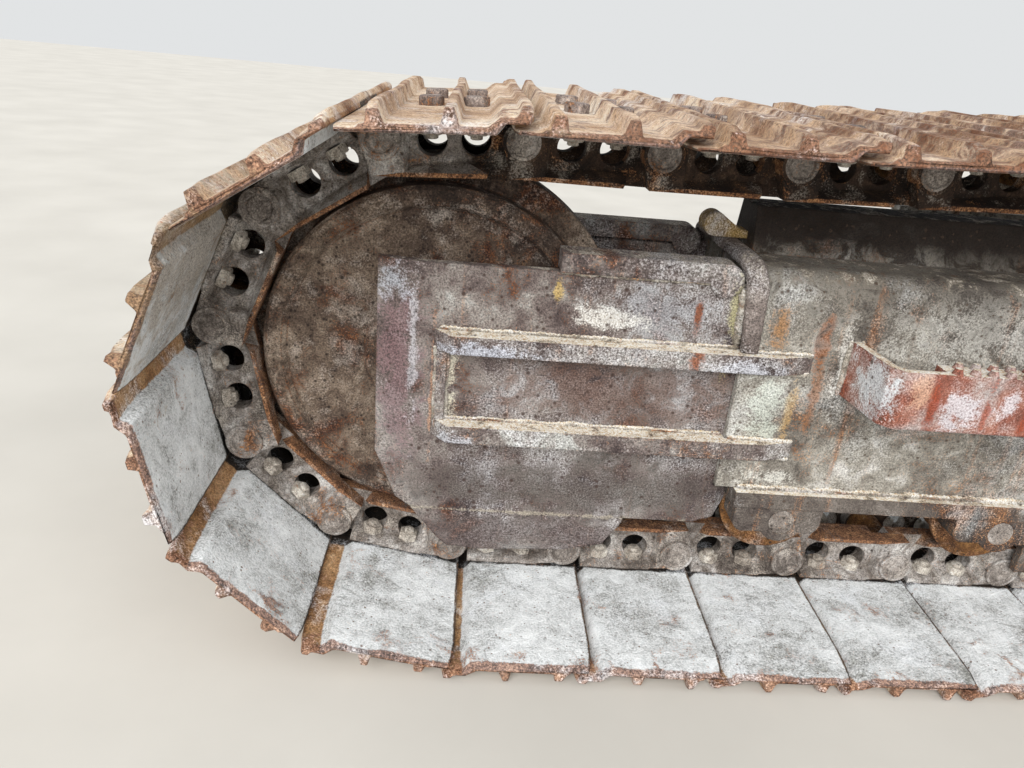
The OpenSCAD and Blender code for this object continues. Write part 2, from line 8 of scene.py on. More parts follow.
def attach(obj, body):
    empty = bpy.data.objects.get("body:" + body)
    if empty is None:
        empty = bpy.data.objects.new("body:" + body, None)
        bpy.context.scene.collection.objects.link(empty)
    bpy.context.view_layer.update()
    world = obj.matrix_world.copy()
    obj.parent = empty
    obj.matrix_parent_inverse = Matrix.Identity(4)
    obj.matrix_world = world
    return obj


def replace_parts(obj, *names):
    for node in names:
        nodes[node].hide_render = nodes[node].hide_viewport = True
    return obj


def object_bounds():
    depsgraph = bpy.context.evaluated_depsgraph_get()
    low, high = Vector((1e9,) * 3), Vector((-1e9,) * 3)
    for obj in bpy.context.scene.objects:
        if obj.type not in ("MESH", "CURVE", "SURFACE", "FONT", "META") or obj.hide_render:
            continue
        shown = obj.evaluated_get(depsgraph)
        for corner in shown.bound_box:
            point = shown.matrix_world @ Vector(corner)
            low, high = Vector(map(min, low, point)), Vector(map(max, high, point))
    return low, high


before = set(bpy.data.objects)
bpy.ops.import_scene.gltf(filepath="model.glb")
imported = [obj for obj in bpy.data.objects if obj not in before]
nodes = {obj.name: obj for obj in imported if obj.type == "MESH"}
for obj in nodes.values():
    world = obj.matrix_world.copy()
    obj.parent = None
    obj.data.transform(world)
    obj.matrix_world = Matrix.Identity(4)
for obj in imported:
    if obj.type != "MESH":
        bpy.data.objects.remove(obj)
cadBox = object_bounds()
print("frame loaded:", len(nodes), "nodes")

# Sizes of the unit in millimetres, measured from the idler's axle and the bottom pins
unitSize = {
    "pitch": 171.45, "links": 44, "phase": 0.203, "teeth": 21, "footDepth": 29, "pinHalf": 86,  # chain
    "carrierX": 1330, "carrierLift": 40, "sagFront": 16, "sagRear": 22,  # top run
    "shoeWidth": 600, "shoeThickness": 9, "shoeSeat": 0.3, "tipDepth": 58, "lap": 22, "lapDrop": 12.2,  # shoes
    "bars": (6, 80, 154), "barPitch": 74,  # bars of a shoe, from its own first edge
    "jointOut": 430, "jointHeight": 320,  # plate that bolts to the body
    "frameHalf": 132, "frameFront": 395, "frameHigh": 735, "shoulder": 460, "deck": 440, "barTop": 153,
    "frameCorner": 30, "frameMiddle": 52,  # radius of the shoulder, and half of what is left open on the roof
    "guardFace": 122, "ribTop": 352, "ribGap": 124, "ribThickness": 24, "driveRadius": 168,
}


def chainSizes(u):
    # Half-wheel arcs plus two straight runs, less what the top run's rise and sag take up
    turn = np.radians(720 / u["teeth"])
    wheel = u["pitch"] / (2 * np.sin(turn / 2))
    arc = np.pi / turn
    run = (u["links"] - 2 * arc) * u["pitch"] / 2
    tail = run - u["carrierX"]
    rise = u["carrierLift"] ** 2 * (1 / u["carrierX"] + 1 / tail) / 2
    sag = 8 / 3 * (u["sagFront"] ** 2 / u["carrierX"] + u["sagRear"] ** 2 / tail)
    return turn, wheel, arc, run - (rise + sag) / 2


linkTurn, wheelRadius, arcLinks, centres = chainSizes(unitSize)
origin = np.array([centres / 2, unitSize["jointOut"], unitSize["jointHeight"]])


def topHeight(x):
    # Straight rise to the carrier roller and fall behind it, each less a parabola for the sag
    u = unitSize
    v = x / u["carrierX"]
    w = (x - u["carrierX"]) / (centres - u["carrierX"])
    front = u["carrierLift"] * v - 4 * u["sagFront"] * v * (1 - v)
    rear = u["carrierLift"] * (1 - w) - 4 * u["sagRear"] * w * (1 - w)
    return 2 * wheelRadius + np.where(x < u["carrierX"], front, rear)


def pinPlaces():
    # Pins counted along the loop: bottom line, arc round the sprocket, top run, arc round the idler
    u = unitSize
    t = np.arange(u["links"]) + u["phase"]
    tBottom = centres / u["pitch"]
    tDrive = tBottom + arcLinks
    tTop = u["links"] - arcLinks
    a = (t - tBottom) * linkTurn
    b = (t - tTop) * linkTurn
    xTop = centres * (tTop - t) / (tTop - tDrive)
    places = [
        np.stack([t * u["pitch"], 0 * t], 1),
        np.stack([centres + wheelRadius * np.sin(a), wheelRadius * (1 - np.cos(a))], 1),
        np.stack([xTop, topHeight(xTop)], 1),
        np.stack([-wheelRadius * np.sin(b), wheelRadius * (1 + np.cos(b))], 1),
    ]
    part = np.digitize(t, [tBottom, tDrive, tTop])
    return np.choose(part[:, None], places)


pins = pinPlaces()
nextPins = np.roll(pins, -1, 0)
linkAngles = np.arctan2(*(nextPins - pins).T[::-1])
linkDirs = np.stack([np.cos(linkAngles), np.sin(linkAngles)], 1)
linkStarts = (pins + nextPins) / 2 - unitSize["pitch"] / 2 * linkDirs


def inRow(points):
    # Millimetres from the idler's axle to metres from the part's origin
    return (np.asarray(points, float) - origin) / 1000


def onLinks(along, out, inward):
    # Carries points given along a link, across the chain and in from the pins onto every link, in metres
    d = linkDirs.reshape(-1, *[1] * (np.ndim(along) - 1), 2)
    s = linkStarts.reshape(-1, *[1] * (np.ndim(along) - 1), 2)
    x = s[..., 0] + d[..., 0] * along - d[..., 1] * inward
    z = s[..., 1] + d[..., 1] * along + d[..., 0] * inward
    return inRow(np.stack([x, np.broadcast_to(out, x.shape), z], -1))


def smoothStep(x):
    # Eases from 0 at 0 to 1 at 1: three squares less two cubes
    t = np.clip(x, 0, 1)
    return t * t * (3 - 2 * t)


def ripple(points, size, seed, waves=7):
    # Sum of sine waves in random directions, each shorter and lower than the last, from about -1 to 1
    source = np.random.default_rng(seed)
    ways = source.normal(size=(waves, points.shape[-1]))
    ways *= (2 * np.pi / size * 1.55 ** np.arange(waves) / np.linalg.norm(ways, axis=1))[:, None]
    heights = 0.78 ** np.arange(waves)
    angles = points @ ways.T + source.uniform(0, 2 * np.pi, waves)
    return (np.sin(angles) * heights).sum(-1) / np.sqrt((heights ** 2).sum()) / 1.2


def makeObject(name, points, faces, material, body, smooth, layers=None):
    # A mesh of points in metres, sharp where it bends by more than smooth degrees, with values by point or by face
    mesh = bpy.data.meshes.new(name)
    mesh.from_pydata(np.asarray(points).reshape(-1, 3).tolist(), [], faces)
    for key, values in (layers or {}).items():
        values = np.asarray(values, np.float32).ravel()
        layer = mesh.attributes.new(key, "FLOAT", "POINT" if len(values) == len(mesh.vertices) else "FACE")
        layer.data.foreach_set("value", values)
    mesh.materials.append(material)
    mesh.update()
    mesh.polygons.foreach_set("use_smooth", np.ones(len(mesh.polygons), bool))
    mesh.set_sharp_from_angle(angle=np.radians(smooth))
    made = bpy.data.objects.new(name, mesh)
    bpy.context.scene.collection.objects.link(made)
    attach(made, body)
    return made


def gridFaces(copies, rows, columns):
    # Quads of many grids laid out as copy, column, row, whose rows close on themselves
    c, i, j = np.meshgrid(np.arange(copies), np.arange(columns - 1), np.arange(rows), indexing="ij")
    k = (j + 1) % rows
    base = (c * columns + i) * rows
    return np.stack([base + j, base + k, base + rows + k, base + rows + j], -1).reshape(-1, 4)


# Materials: one function lays the same kinds of weather over every finish, as each finish's own look says
def linear(code):
    # An sRGB hex colour as linear light
    c = np.array([int(code[k:k + 2], 16) for k in (1, 3, 5)]) / 255
    c = np.where(c <= 0.04045, c / 12.92, ((c + 0.055) / 1.055) ** 2.4)
    return (*c, 1)


def put(tree, kind, inputs=None, stops=None, **settings):
    # Adds one node with its settings, its colour stops and what its sockets hold or are linked to
    node = tree.nodes.new("ShaderNode" + kind)
    for key, value in settings.items():
        setattr(node, key, value)
    for key, value in (inputs or {}).items():
        if isinstance(value, bpy.types.NodeSocket):
            tree.links.new(value, node.inputs[key])
        else:
            node.inputs[key].default_value = value
    if stops:
        for k, (place, colour) in enumerate(stops):
            stop = node.color_ramp.elements[k] if k < 2 else node.color_ramp.elements.new(place)
            stop.position = place
            stop.color = linear(colour) if isinstance(colour, str) else (colour, colour, colour, 1)
    return node.outputs[2 if kind == "Mix" and node.data_type == "RGBA" else 0]


def above(share, spread=0.085):
    # The level that a noise texture passes on this share of a surface, for a texture of this spread
    return 0.5 + spread * NormalDist().inv_cdf(1 - share)


# The same in every finish: how far mottle and grain break up each layer's border, and heights in millimetres
breakUp = {"tone": 1.4, "rust": 0.45, "streak": 0.35, "lime": 0.40, "stain": 4.6, "stainGrain": 1.8, "pit": 0.9}
layerHeights = {"rust": 0.5, "pits": -0.9}


def weatheredSteel(name, look):
    # Steel left outdoors: an old skin in several tones, rust that creeps in from edges, streaks below it, pale lime
    # broken into flecks, stains where they belong, painted shade above a level for the top run's shadow, a few pits,
    # and a grain that catches the light like sand.
    # Every pattern's scale is one over its real size in metres, and heights are in millimetres.
    material = bpy.data.materials.new(name)
    material.use_nodes = True
    tree = material.node_tree
    tree.nodes.clear()
    place = tree.nodes.new("ShaderNodeTexCoord").outputs["Object"]
    normal = tree.nodes.new("ShaderNodeNewGeometry").outputs["Normal"]

    broad = put(tree, "TexNoise", {"Vector": place, "Scale": 1000 / look["patch"], "Detail": 5, "Roughness": 0.6})
    mottle = put(tree, "TexNoise", {
        "Vector": place, "Scale": 1000 / look["mottle"], "Detail": 6, "Roughness": 0.72, "Distortion": 0.6})
    grain = put(tree, "TexNoise", {"Vector": place, "Scale": 1000 / look["grain"], "Detail": 3, "Roughness": 0.7})
    mottleShift = put(tree, "Math", {0: mottle, 1: 0.5}, operation="SUBTRACT")
    grainShift = put(tree, "Math", {0: grain, 1: 0.5}, operation="SUBTRACT")

    # Skin, and other tones where an attribute of the mesh says so; some of these tones are painted shade
    mixed = put(tree, "Mix", {0: 0.5, 2: broad, 3: mottle}, data_type="FLOAT")
    skin = put(tree, "ValToRGB", {"Fac": mixed}, stops=look["skin"])
    for key, tone in look.get("tones", {}).items():
        mask = put(tree, "Attribute", attribute_name=key).node.outputs["Fac"]
        mask = put(tree, "Math", {0: mottleShift, 1: breakUp["tone"], 2: mask}, operation="MULTIPLY_ADD")
        mask = put(tree, "MapRange", {"Value": mask, "From Min": 0.35, "From Max": 0.65})
        other = put(tree, "ValToRGB", {"Fac": mixed}, stops=tone)
        skin = put(tree, "Mix", {0: mask, 6: skin, 7: other}, data_type="RGBA")

    # Edge: how far the rounded normal departs from the face's own, broken by the mottle
    rounded = put(tree, "Bevel", {"Radius": look["edge"] / 1000}, samples=4)
    facing = put(tree, "VectorMath", {0: rounded, 1: normal}, operation="DOT_PRODUCT").node.outputs["Value"]
    edge = put(tree, "MapRange", {"Value": facing, "From Min": 1.0, "From Max": 0.84})
    edgeBreak = put(tree, "MapRange", {
        "Value": mottle, "From Min": 0.40, "From Max": 0.60, "To Min": 0.15, "To Max": 1.0})
    worn = put(tree, "Math", {0: edge, 1: edgeBreak}, operation="MULTIPLY")

    # Rust: its own noise, raised at edges and by the mesh's attributes
    rustNoise = put(tree, "TexNoise", {
        "Vector": place, "Scale": 1000 / look["rustSize"], "Detail": 8, "Roughness": 0.7, "Distortion": 0.4})
    field = put(tree, "Math", {0: grainShift, 1: breakUp["rust"], 2: rustNoise}, operation="MULTIPLY_ADD")
    field = put(tree, "Math", {0: worn, 1: look["edgeRust"], 2: field}, operation="MULTIPLY_ADD")
    for key, weight in look.get("rustMasks", {}).items():
        mask = put(tree, "Attribute", attribute_name=key)
        field = put(tree, "Math", {0: mask, 1: weight, 2: field}, operation="MULTIPLY_ADD")
    low = above(look["rust"], 0.095)
    rustMask = put(tree, "MapRange", {
        "Value": field, "From Min": low - 0.03, "From Max": low + 0.06, "To Max": look.get("rustMost", 0.95)})
    rustTone = put(tree, "Mix", {0: 0.45, 2: mottle, 3: grain}, data_type="FLOAT")
    rustColour = put(tree, "ValToRGB", {"Fac": rustTone}, stops=look["rustStops"])
    colour = put(tree, "Mix", {0: rustMask, 6: skin, 7: rustColour}, data_type="RGBA")

    # Streaks run down the walls, one texture drawn long in height
    if look.get("streak"):
        stretched = put(tree, "Mapping", {"Vector": place, "Scale": (1, 1, 0.06)})
        streaks = put(tree, "TexNoise", {
            "Vector": stretched, "Scale": 1000 / look["streakWidth"], "Detail": 4, "Roughness": 0.6})
        streaks = put(tree, "Math", {0: grainShift, 1: breakUp["streak"], 2: streaks}, operation="MULTIPLY_ADD")
        low = above(look["streak"], 0.1)
        streakMask = put(tree, "MapRange", {"Value": streaks, "From Min": low, "From Max": low + 0.12, "To Max": 0.8})
        streakColour = put(tree, "ValToRGB", {"Fac": rustTone}, stops=look["streakStops"])
        colour = put(tree, "Mix", {0: streakMask, 6: colour, 7: streakColour}, data_type="RGBA")

    # Lime and dried mud: patches that the grain breaks into flecks
    limeNoise = put(tree, "TexNoise", {
        "Vector": place, "Scale": 1000 / look["limeSize"], "Detail": 8, "Roughness": 0.66, "Distortion": 0.3})
    limeGrain = look.get("limeGrain", breakUp["lime"])
    limeField = put(tree, "Math", {0: grainShift, 1: limeGrain, 2: limeNoise}, operation="MULTIPLY_ADD")
    low = above(look["lime"], 0.11)
    limeMask = put(tree, "MapRange", {
        "Value": limeField, "From Min": low - 0.05, "From Max": low + 0.13, "To Max": look.get("limeMost", 0.75)})
    colour = put(tree, "Mix", {0: limeMask, 6: colour, 7: linear(look["limeHex"])}, data_type="RGBA")

    # Stains: one soft oval each, where its middle and reach say, its border broken by the mottle and the grain
    for middle, reach, stainHex, most in look["stains"]:
        away = put(tree, "Mapping", {
            "Vector": place, "Scale": tuple(1000 / r for r in reach),
            "Location": tuple((o - m) / r for o, m, r in zip(origin, middle, reach))})
        away = put(tree, "VectorMath", {0: away}, operation="LENGTH").node.outputs["Value"]
        inside = put(tree, "Math", {0: 0.85, 1: away}, operation="SUBTRACT")
        spread = put(tree, "Math", {0: mottleShift, 1: breakUp["stain"], 2: inside}, operation="MULTIPLY_ADD")
        spread = put(tree, "Math", {0: grainShift, 1: breakUp["stainGrain"], 2: spread}, operation="MULTIPLY_ADD")
        stainMask = put(tree, "MapRange", {"Value": spread, "From Min": -0.15, "From Max": 0.45, "To Max": most})
        colour = put(tree, "Mix", {0: stainMask, 6: colour, 7: linear(stainHex)}, data_type="RGBA")

    # Painted shade: a dark colour above a level in millimetres, standing for the shadow that the top run casts
    if look["paintedRoofShade"]:
        level, reach, roofShadeHex = look["paintedRoofShade"]
        height = put(tree, "SeparateXYZ", {0: place}).node.outputs["Z"]
        height = put(tree, "Math", {0: mottleShift, 1: reach / 1000, 2: height}, operation="MULTIPLY_ADD")
        base = (level - origin[2]) / 1000
        roofShadeMask = put(tree, "MapRange", {
            "Value": height, "From Min": base, "From Max": base + reach / 1000, "To Max": 0.94})
        colour = put(tree, "Mix", {0: roofShadeMask, 6: colour, 7: linear(roofShadeHex)}, data_type="RGBA")

    # Dust on faces that look up
    if look["dust"]:
        upward = put(tree, "SeparateXYZ", {0: normal}).node.outputs["Z"]
        upward = put(tree, "MapRange", {"Value": upward, "From Min": 0.4, "From Max": 0.8, "To Max": 0.95})
        low = above(look["dust"], 0.1)
        dustMask = put(tree, "MapRange", {"Value": mottle, "From Min": low - 0.06, "From Max": low + 0.06})
        dustMask = put(tree, "Math", {0: dustMask, 1: upward}, operation="MULTIPLY")
        dustTone = put(tree, "ValToRGB", {"Fac": rustTone}, stops=look["dustStops"])
        colour = put(tree, "Mix", {0: dustMask, 6: colour, 7: dustTone}, data_type="RGBA")

    # Grain tone: fine dark and light specks over everything
    grainTone = put(tree, "ValToRGB", {"Fac": grain}, stops=[(0.34, 0.10), (0.50, 0.50), (0.66, 0.88)])
    colour = put(
        tree, "Mix", {0: look.get("grainMix", 0.7), 6: colour, 7: grainTone}, data_type="RGBA", blend_type="OVERLAY")

    # Pits: one cell in several holds a dark spot whose size varies
    cells = put(tree, "TexVoronoi", {"Scale": 1000 / look["pitSpacing"], "Vector": place}).node.outputs
    pitSize = put(tree, "MapRange", {
        "Value": cells["Color"], "From Min": 0.52, "From Max": 0.95, "To Min": -0.05, "To Max": look["pitSize"]},
        clamp=False)
    pitField = put(tree, "Math", {0: pitSize, 1: cells["Distance"]}, operation="SUBTRACT")
    pitField = put(tree, "Math", {0: grainShift, 1: breakUp["pit"], 2: pitField}, operation="MULTIPLY_ADD")
    pitMask = put(tree, "MapRange", {"Value": pitField, "From Min": -0.04, "From Max": 0.10, "To Max": 0.85})
    colour = put(tree, "Mix", {0: pitMask, 6: colour, 7: linear(look["pitHex"])}, data_type="RGBA")

    # Bright metal where worn edges meet the grain
    if look.get("bright"):
        polished = put(tree, "Math", {0: worn, 1: grain}, operation="MULTIPLY")
        brightMask = put(tree, "MapRange", {
            "Value": polished, "From Min": look["bright"], "From Max": look["bright"] + 0.2, "To Max": 0.7})
        colour = put(tree, "Mix", {0: brightMask, 6: colour, 7: linear(look["brightHex"])}, data_type="RGBA")

    # Relief: grain and mottle stand up, rust lies on them as scale, and pits sink in
    rough = put(tree, "MapRange", {"Value": rustMask, "To Min": look["rough"], "To Max": 0.93})
    relief = put(tree, "Math", {0: mottle, 1: look["mottleHeight"]}, operation="MULTIPLY")
    for layer, height in (
            (grain, look["grainHeight"]), (rustMask, layerHeights["rust"]), (pitMask, layerHeights["pits"])):
        relief = put(tree, "Math", {0: layer, 1: height, 2: relief}, operation="MULTIPLY_ADD")
    bump = put(tree, "Bump", {"Strength": 1.0, "Distance": 0.001, "Height": relief, "Normal": rounded})
    shader = put(tree, "BsdfPrincipled", {
        "Base Color": colour, "Roughness": rough, "Normal": bump,
        "Metallic": look.get("metallic", 0.0), "Specular IOR Level": 0.35})
    tree.links.new(shader, tree.nodes.new("ShaderNodeOutputMaterial").inputs["Surface"])
    return material


def fourTones(*codes):
    # A ramp of four colours, at the levels between which the mixed noise mostly lies
    return list(zip((0.38, 0.46, 0.54, 0.62), codes))


def onWall(y, rows, depth=60):
    # Stains on a wall that faces sideways, from rows of middle along and up, reach along and up, colour and most
    return [((x, y, z), (reachX, depth, reachZ), code, most) for x, z, reachX, reachZ, code, most in rows]


# Colour ramps that several finishes share: rust by kind, and the cream dust that dries on ledges
rustOrange = [(0.36, "#33231a"), (0.45, "#64422d"), (0.54, "#8c6140"), (0.66, "#b88c60")]
rustDark = [(0.36, "#251915"), (0.46, "#4a2d20"), (0.56, "#6f452b"), (0.68, "#976a42")]
rustShoe = [(0.36, "#35231b"), (0.45, "#634233"), (0.54, "#8c634c"), (0.66, "#b58f75")]
rustRed = [(0.36, "#3a1a12"), (0.46, "#7a3a24"), (0.56, "#a35535"), (0.68, "#c98260")]
dustCream = [(0.36, "#bd9a70"), (0.44, "#dccbae"), (0.54, "#f0e9dc"), (0.66, "#faf8f3")]

# In every look: sizes in millimetres, amounts as shares of the surface, stains as middle, reach, colour and most

# Enamel on rolled plate after years outdoors: a matt grey-tan skin, pale lime, brown runs below every edge,
# and painted shade over the roof where the top run's shadow falls
framePaintLook = {
    "patch": 190, "mottle": 30, "grain": 2.4,
    "skin": [(0.38, "#504a44"), (0.47, "#7a746b"), (0.54, "#979288"), (0.62, "#bbb7b1")],
    "edge": 4, "edgeRust": 0.12, "rustSize": 130, "rust": 0.13, "rustStops": rustOrange,
    "streak": 0.17, "streakWidth": 24, "streakStops": rustOrange,
    "limeSize": 120, "lime": 0.26, "limeHex": "#d2d3d1", "limeMost": 0.55,
    "pitSpacing": 8, "pitSize": 0.36, "pitHex": "#4a3a2f", "rough": 0.8, "grainHeight": 2.0, "mottleHeight": 4.5,
    "dust": 0.3, "dustStops": [(0.36, "#6a5844"), (0.44, "#8c7e6b"), (0.54, "#aaa091"), (0.66, "#c6c0b6")],
    # Painted shade: the roof darkened above this level, as the shadow of the top run
    "paintedRoofShade": (462, 24, "#241b15"),
    "stains": onWall(-132, [
        (434, 388, 17, 44, "#8f6538", 0.8), (496, 375, 9, 52, "#83502f", 0.85), (501, 290, 8, 70, "#8a5b38", 0.7),
        (472, 262, 8, 56, "#b3905a", 0.6), (440, 268, 26, 50, "#b9c0b4", 0.55), (472, 172, 40, 13, "#c6c4bc", 0.7),
        (528, 340, 11, 60, "#dcd9d2", 0.55), (800, 400, 260, 60, "#c9c7c0", 0.35),
    # The last stain is painted shade: a broad dark band high on the frame, as the shadow of the top run
    ]) + [((790, 0, 545), (1500, 900, 115), "#2b2119", 0.93)],
}

# Rolled plate rubbed bare by mud: purple-brown scale under a fine salt of lime, stained where mud and water lay
guardLook = dict(
    framePaintLook, paintedRoofShade=None, patch=110, skin=fourTones("#3f3433", "#655955", "#867e78", "#a8a7a2"),
    rustSize=80, rust=0.20, rustStops=rustDark, streak=0.12, streakWidth=22,
    limeSize=150, lime=0.28, limeHex="#cdcdce", limeGrain=0.62, grainMix=0.85, pitHex="#3d2c26",
    stains=onWall(-122, [
        (229, 281, 180, 58, "#5e463c", 0.75), (-44, 290, 34, 150, "#6b5053", 0.75), (284, 392, 84, 40, "#9fa1a6", 0.55),
        (216, 380, 44, 17, "#d9d5cd", 0.7), (211, 128, 260, 52, "#4d4540", 0.75),
    ]) + onWall(-112, [(125, 48, 270, 40, "#5b4f4d", 0.65)]) + onWall(-122, [
        (130, 87, 270, 3.5, "#a79d8c", 0.6), (-27, 314, 7, 100, "#b3b3b6", 0.6), (18, 264, 15, 62, "#c9c3b0", 0.8),
        (-53, 408, 24, 26, "#a9adb4", 0.7), (150, 410, 6, 20, "#b89a55", 0.7), (378, 400, 9, 60, "#a8a277", 0.7),
        (-1, 268, 3, 96, "#ae8468", 0.65), (331, 392, 6, 30, "#79452c", 0.95)]))

# Flame-cut plate: faces limed like the guard's, and cream dust dried on the tops
ribLook = dict(
    guardLook, edgeRust=0.14, limeSize=60, lime=0.34, rust=0.14, rustSize=50, rustStops=rustOrange, streak=0,
    dust=0.85, dustStops=dustCream,
    stains=onWall(-148, [
        (331, 340, 9, 26, "#80492c", 0.9), (405, 330, 52, 14, "#b7b8be", 0.8),
        (32, 200, 26, 16, "#b7b8be", 0.7), (60, 332, 70, 12, "#b3b6c0", 0.7)]))

# Plate bent round the mouth and battered: an even, slightly warm grey
rimLook = dict(
    guardLook, skin=fourTones("#4d433e", "#685d58", "#827771", "#9c948d"), streak=0, rust=0.10, stains=[])

# Painted bars and castings low on the frame: dark with oily dirt on their sides, dusty on top
barLook = dict(
    framePaintLook, paintedRoofShade=None, skin=fourTones("#302a26", "#4c433e", "#635b54", "#7c746d"),
    rust=0.22, lime=0.20, dust=0.8, dustStops=dustCream, stains=[])

# Plate that still has its ochre primer
lugLook = dict(ribLook, skin=fourTones("#5a4426", "#83663a", "#a3864f", "#c4ab78"), dust=0, stains=[])

# What all unpainted steel and iron start from
bareLook = dict(framePaintLook, paintedRoofShade=None, streak=0, dust=0, stains=[])

# Unpainted cast iron: brown-grey, coarse and pitted
idlerLook = dict(
    bareLook, patch=110, mottle=22, skin=fourTones("#31261f", "#504137", "#6d5d4f", "#938373"),
    edgeRust=0.25, rustSize=60, rust=0.24, rustStops=rustDark,
    limeSize=34, lime=0.22, limeHex="#b9aea3", pitSpacing=6, pitHex="#251a15", pitSize=0.42,
    grainHeight=2.6, mottleHeight=5.0, grainMix=0.8)

# Forged link steel: grey scale with dried mud, orange rust on the rails, black painted shade inside and on the top run
linkLook = dict(
    bareLook, patch=70, mottle=18, grain=2.2, skin=fourTones("#483f39", "#716860", "#968f89", "#c0bcb7"),
    tones={"grease": fourTones("#150d09", "#261a12", "#3a2a1f", "#564233")},
    edge=3, rustSize=45, rust=0.09, rustMasks={"rail": 0.26, "joint": 0.02},
    limeSize=40, lime=0.20, limeHex="#c2b9ad", limeMost=0.6, pitSpacing=7, pitHex="#2b211a", pitSize=0.32,
    mottleHeight=3.2)

# Cast iron that rolls bare on the rails: orange-brown flash rust
rollerLook = dict(idlerLook, skin=fourTones("#3a2416", "#63401f", "#8a5f33", "#b08653"), rustStops=rustOrange)

# Turned steel: finer and a little glossier, its worn edges bright
pinLook = dict(
    linkLook, mottle=12, tones={}, skin=fourTones("#4f4741", "#736a63", "#928981", "#b5ada6"),
    rust=0.14, rustMasks={}, metallic=0.15, rough=0.6, edgeRust=0.05, bright=0.30, brightHex="#c9c2bb")

# Hot-rolled shoe section: outside ochre-brown and bleached, inside white with lime, sheared ends and laps rusted,
# painted shade between the link rows, and a painted shadow line at each seam
shoeLook = dict(
    bareLook, patch=110, mottle=24, grain=2.6, skin=fourTones("#8f6c50", "#bb9c7d", "#d9c4ab", "#efe5d7"),
    tones={
        "inner": [(0.37, "#94948f"), (0.44, "#bebfbe"), (0.52, "#dbdddd"), (0.62, "#f2f4f4")],
        "lap": fourTones("#6e4c2f", "#97704a", "#b58f67", "#d3b999"),
        # Painted shade between the link rows, and a painted shadow line where each shoe's end meets the next
        "paintedShadeBetweenLinks": fourTones("#120e0b", "#1e1813", "#2c241d", "#40362c"),
        "paintedSeamShadow": fourTones("#2a2019", "#433529", "#5c4a3a", "#7d6a57")},
    rustSize=48, rust=0.07, rustStops=rustShoe, rustMost=0.88,
    rustMasks={"rim": 0.30, "nearEnd": 0.06, "lap": 0.06, "tip": 0.10},
    limeSize=70, lime=0.22, limeHex="#eceff3", limeMost=0.6, pitSpacing=5, pitSize=0.34, pitHex="#6f5441",
    rough=0.65, grainHeight=1.6, mottleHeight=3.0, grainMix=0.75,
    stains=[
        ((1100, -120, 650), (1050, 420, 120), "#663f29", 0.88),
        ((-275, -150, 450), (130, 330, 140), "#7f6a4c", 0.6)])

# Nuts set back in the windows, out of the wear: coated with dried lime, pale and matt
nutLook = dict(pinLook, skin=fourTones("#766c62", "#a0968a", "#c2baae", "#ddd7cd"), rust=0.10)

# Forged bolts: warm grey scale whose corners are rubbed bright
boltLook = dict(
    linkLook, mottle=9, tones={}, rust=0.22, rustMasks={}, bright=0.30, brightHex="#c4bbb1",
    skin=fourTones("#4a3f3a", "#70635d", "#8f827b", "#b0a49d"))

# Weld metal under its paint: paler than the plate, rust caught between the ripples
weldLook = dict(
    ribLook, mottle=16, skin=fourTones("#6f675c", "#938b7e", "#b3aca0", "#d4cfc5"), rust=0.24, stains=[])

# Pressed plate in red oxide: worn to pale steel where boots land, rust red in the streaks between
stepLook = dict(
    framePaintLook, paintedRoofShade=None, patch=90, skin=fourTones("#63382b", "#875142", "#9f6c5a", "#b49083"),
    rust=0.30, rustStops=rustRed, streak=0.24, streakWidth=16, streakStops=rustRed,
    limeSize=90, lime=0.42, limeHex="#b3aeab", limeMost=0.8, dust=0.9, dustStops=dustCream,
    stains=onWall(-196, [(540, 345, 22, 50, "#c9cccf", 0.9)], 42) + onWall(-230, [
        (637, 332, 30, 30, "#c3bcbf", 0.9), (691, 338, 13, 26, "#c6bfc2", 0.85), (580, 350, 14, 20, "#c09a82", 0.7),
        (760, 330, 34, 30, "#c3bcbf", 0.85), (860, 338, 40, 26, "#c6bfc2", 0.8), (599, 332, 7, 44, "#8a3a1e", 0.85),
        (666, 332, 5, 40, "#8f4022", 0.8), (716, 332, 6, 40, "#8a3a1e", 0.8)], 40))

# The frame's enamel on machined castings: a shade darker, without the frame's marks
driveLook = dict(framePaintLook, skin=fourTones("#4d4842", "#6d675e", "#8b8477", "#aaa497"), stains=[])

# Black enamel under an oil film: dark and even
motorLook = dict(
    framePaintLook, skin=fourTones("#232221", "#343331", "#474543", "#625f5b"), lime=0.12, rust=0.12, stains=[])

finishes = {
    "weatheredFramePaint": (framePaintLook, [
        "side_frame", "drive_bracket", "motor_guard", "access_cover", "body_legs", "body_joint"]),
    "rustedGuardPlate": (guardLook, ["guard_outboard", "guard_inboard"]),
    "limedRibPlate": (ribLook, ["guard_ribs"]),
    "weatheredBarPaint": (barLook, [
        "roller_bars", "roller_collars", "carrier_bracket", "chain_guides", "guide_bars"]),
    "ochreLugPlate": (lugLook, ["frame_lug"]),
    "castIdlerIron": (idlerLook, ["idler", "axle_blocks", "idler_yoke"]),
    "forgedLinkSteel": (linkLook, ["track_links_outboard", "track_links_inboard"]),
    "turnedPinSteel": (pinLook, ["track_pins", "idler_axle", "roller_shafts"]),
    "rustedRollerIron": (rollerLook, ["track_rollers", "carrier_roller", "track_bushings", "sprocket"]),
    "rolledShoeSteel": (shoeLook, ["track_shoes"]),
    "rustedStepPaint": (stepLook, ["step"]),
    "weatheredDrivePaint": (driveLook, ["final_drive", "drive_cover"]),
    "darkMotorPaint": (motorLook, ["travel_motor"]),
    "forgedBoltSteel": (boltLook, []),
    "limedNutSteel": (nutLook, []),
    "weldBeadSteel": (weldLook, []),
    "batteredRimPlate": (rimLook, ["frame_mouth"]),
}
materials = {}
for finishName, (look, members) in finishes.items():
    materials[finishName] = weatheredSteel(finishName, look)
    for member in members:
        mesh = nodes[member].data
        mesh.materials.clear()
        mesh.materials.append(materials[finishName])
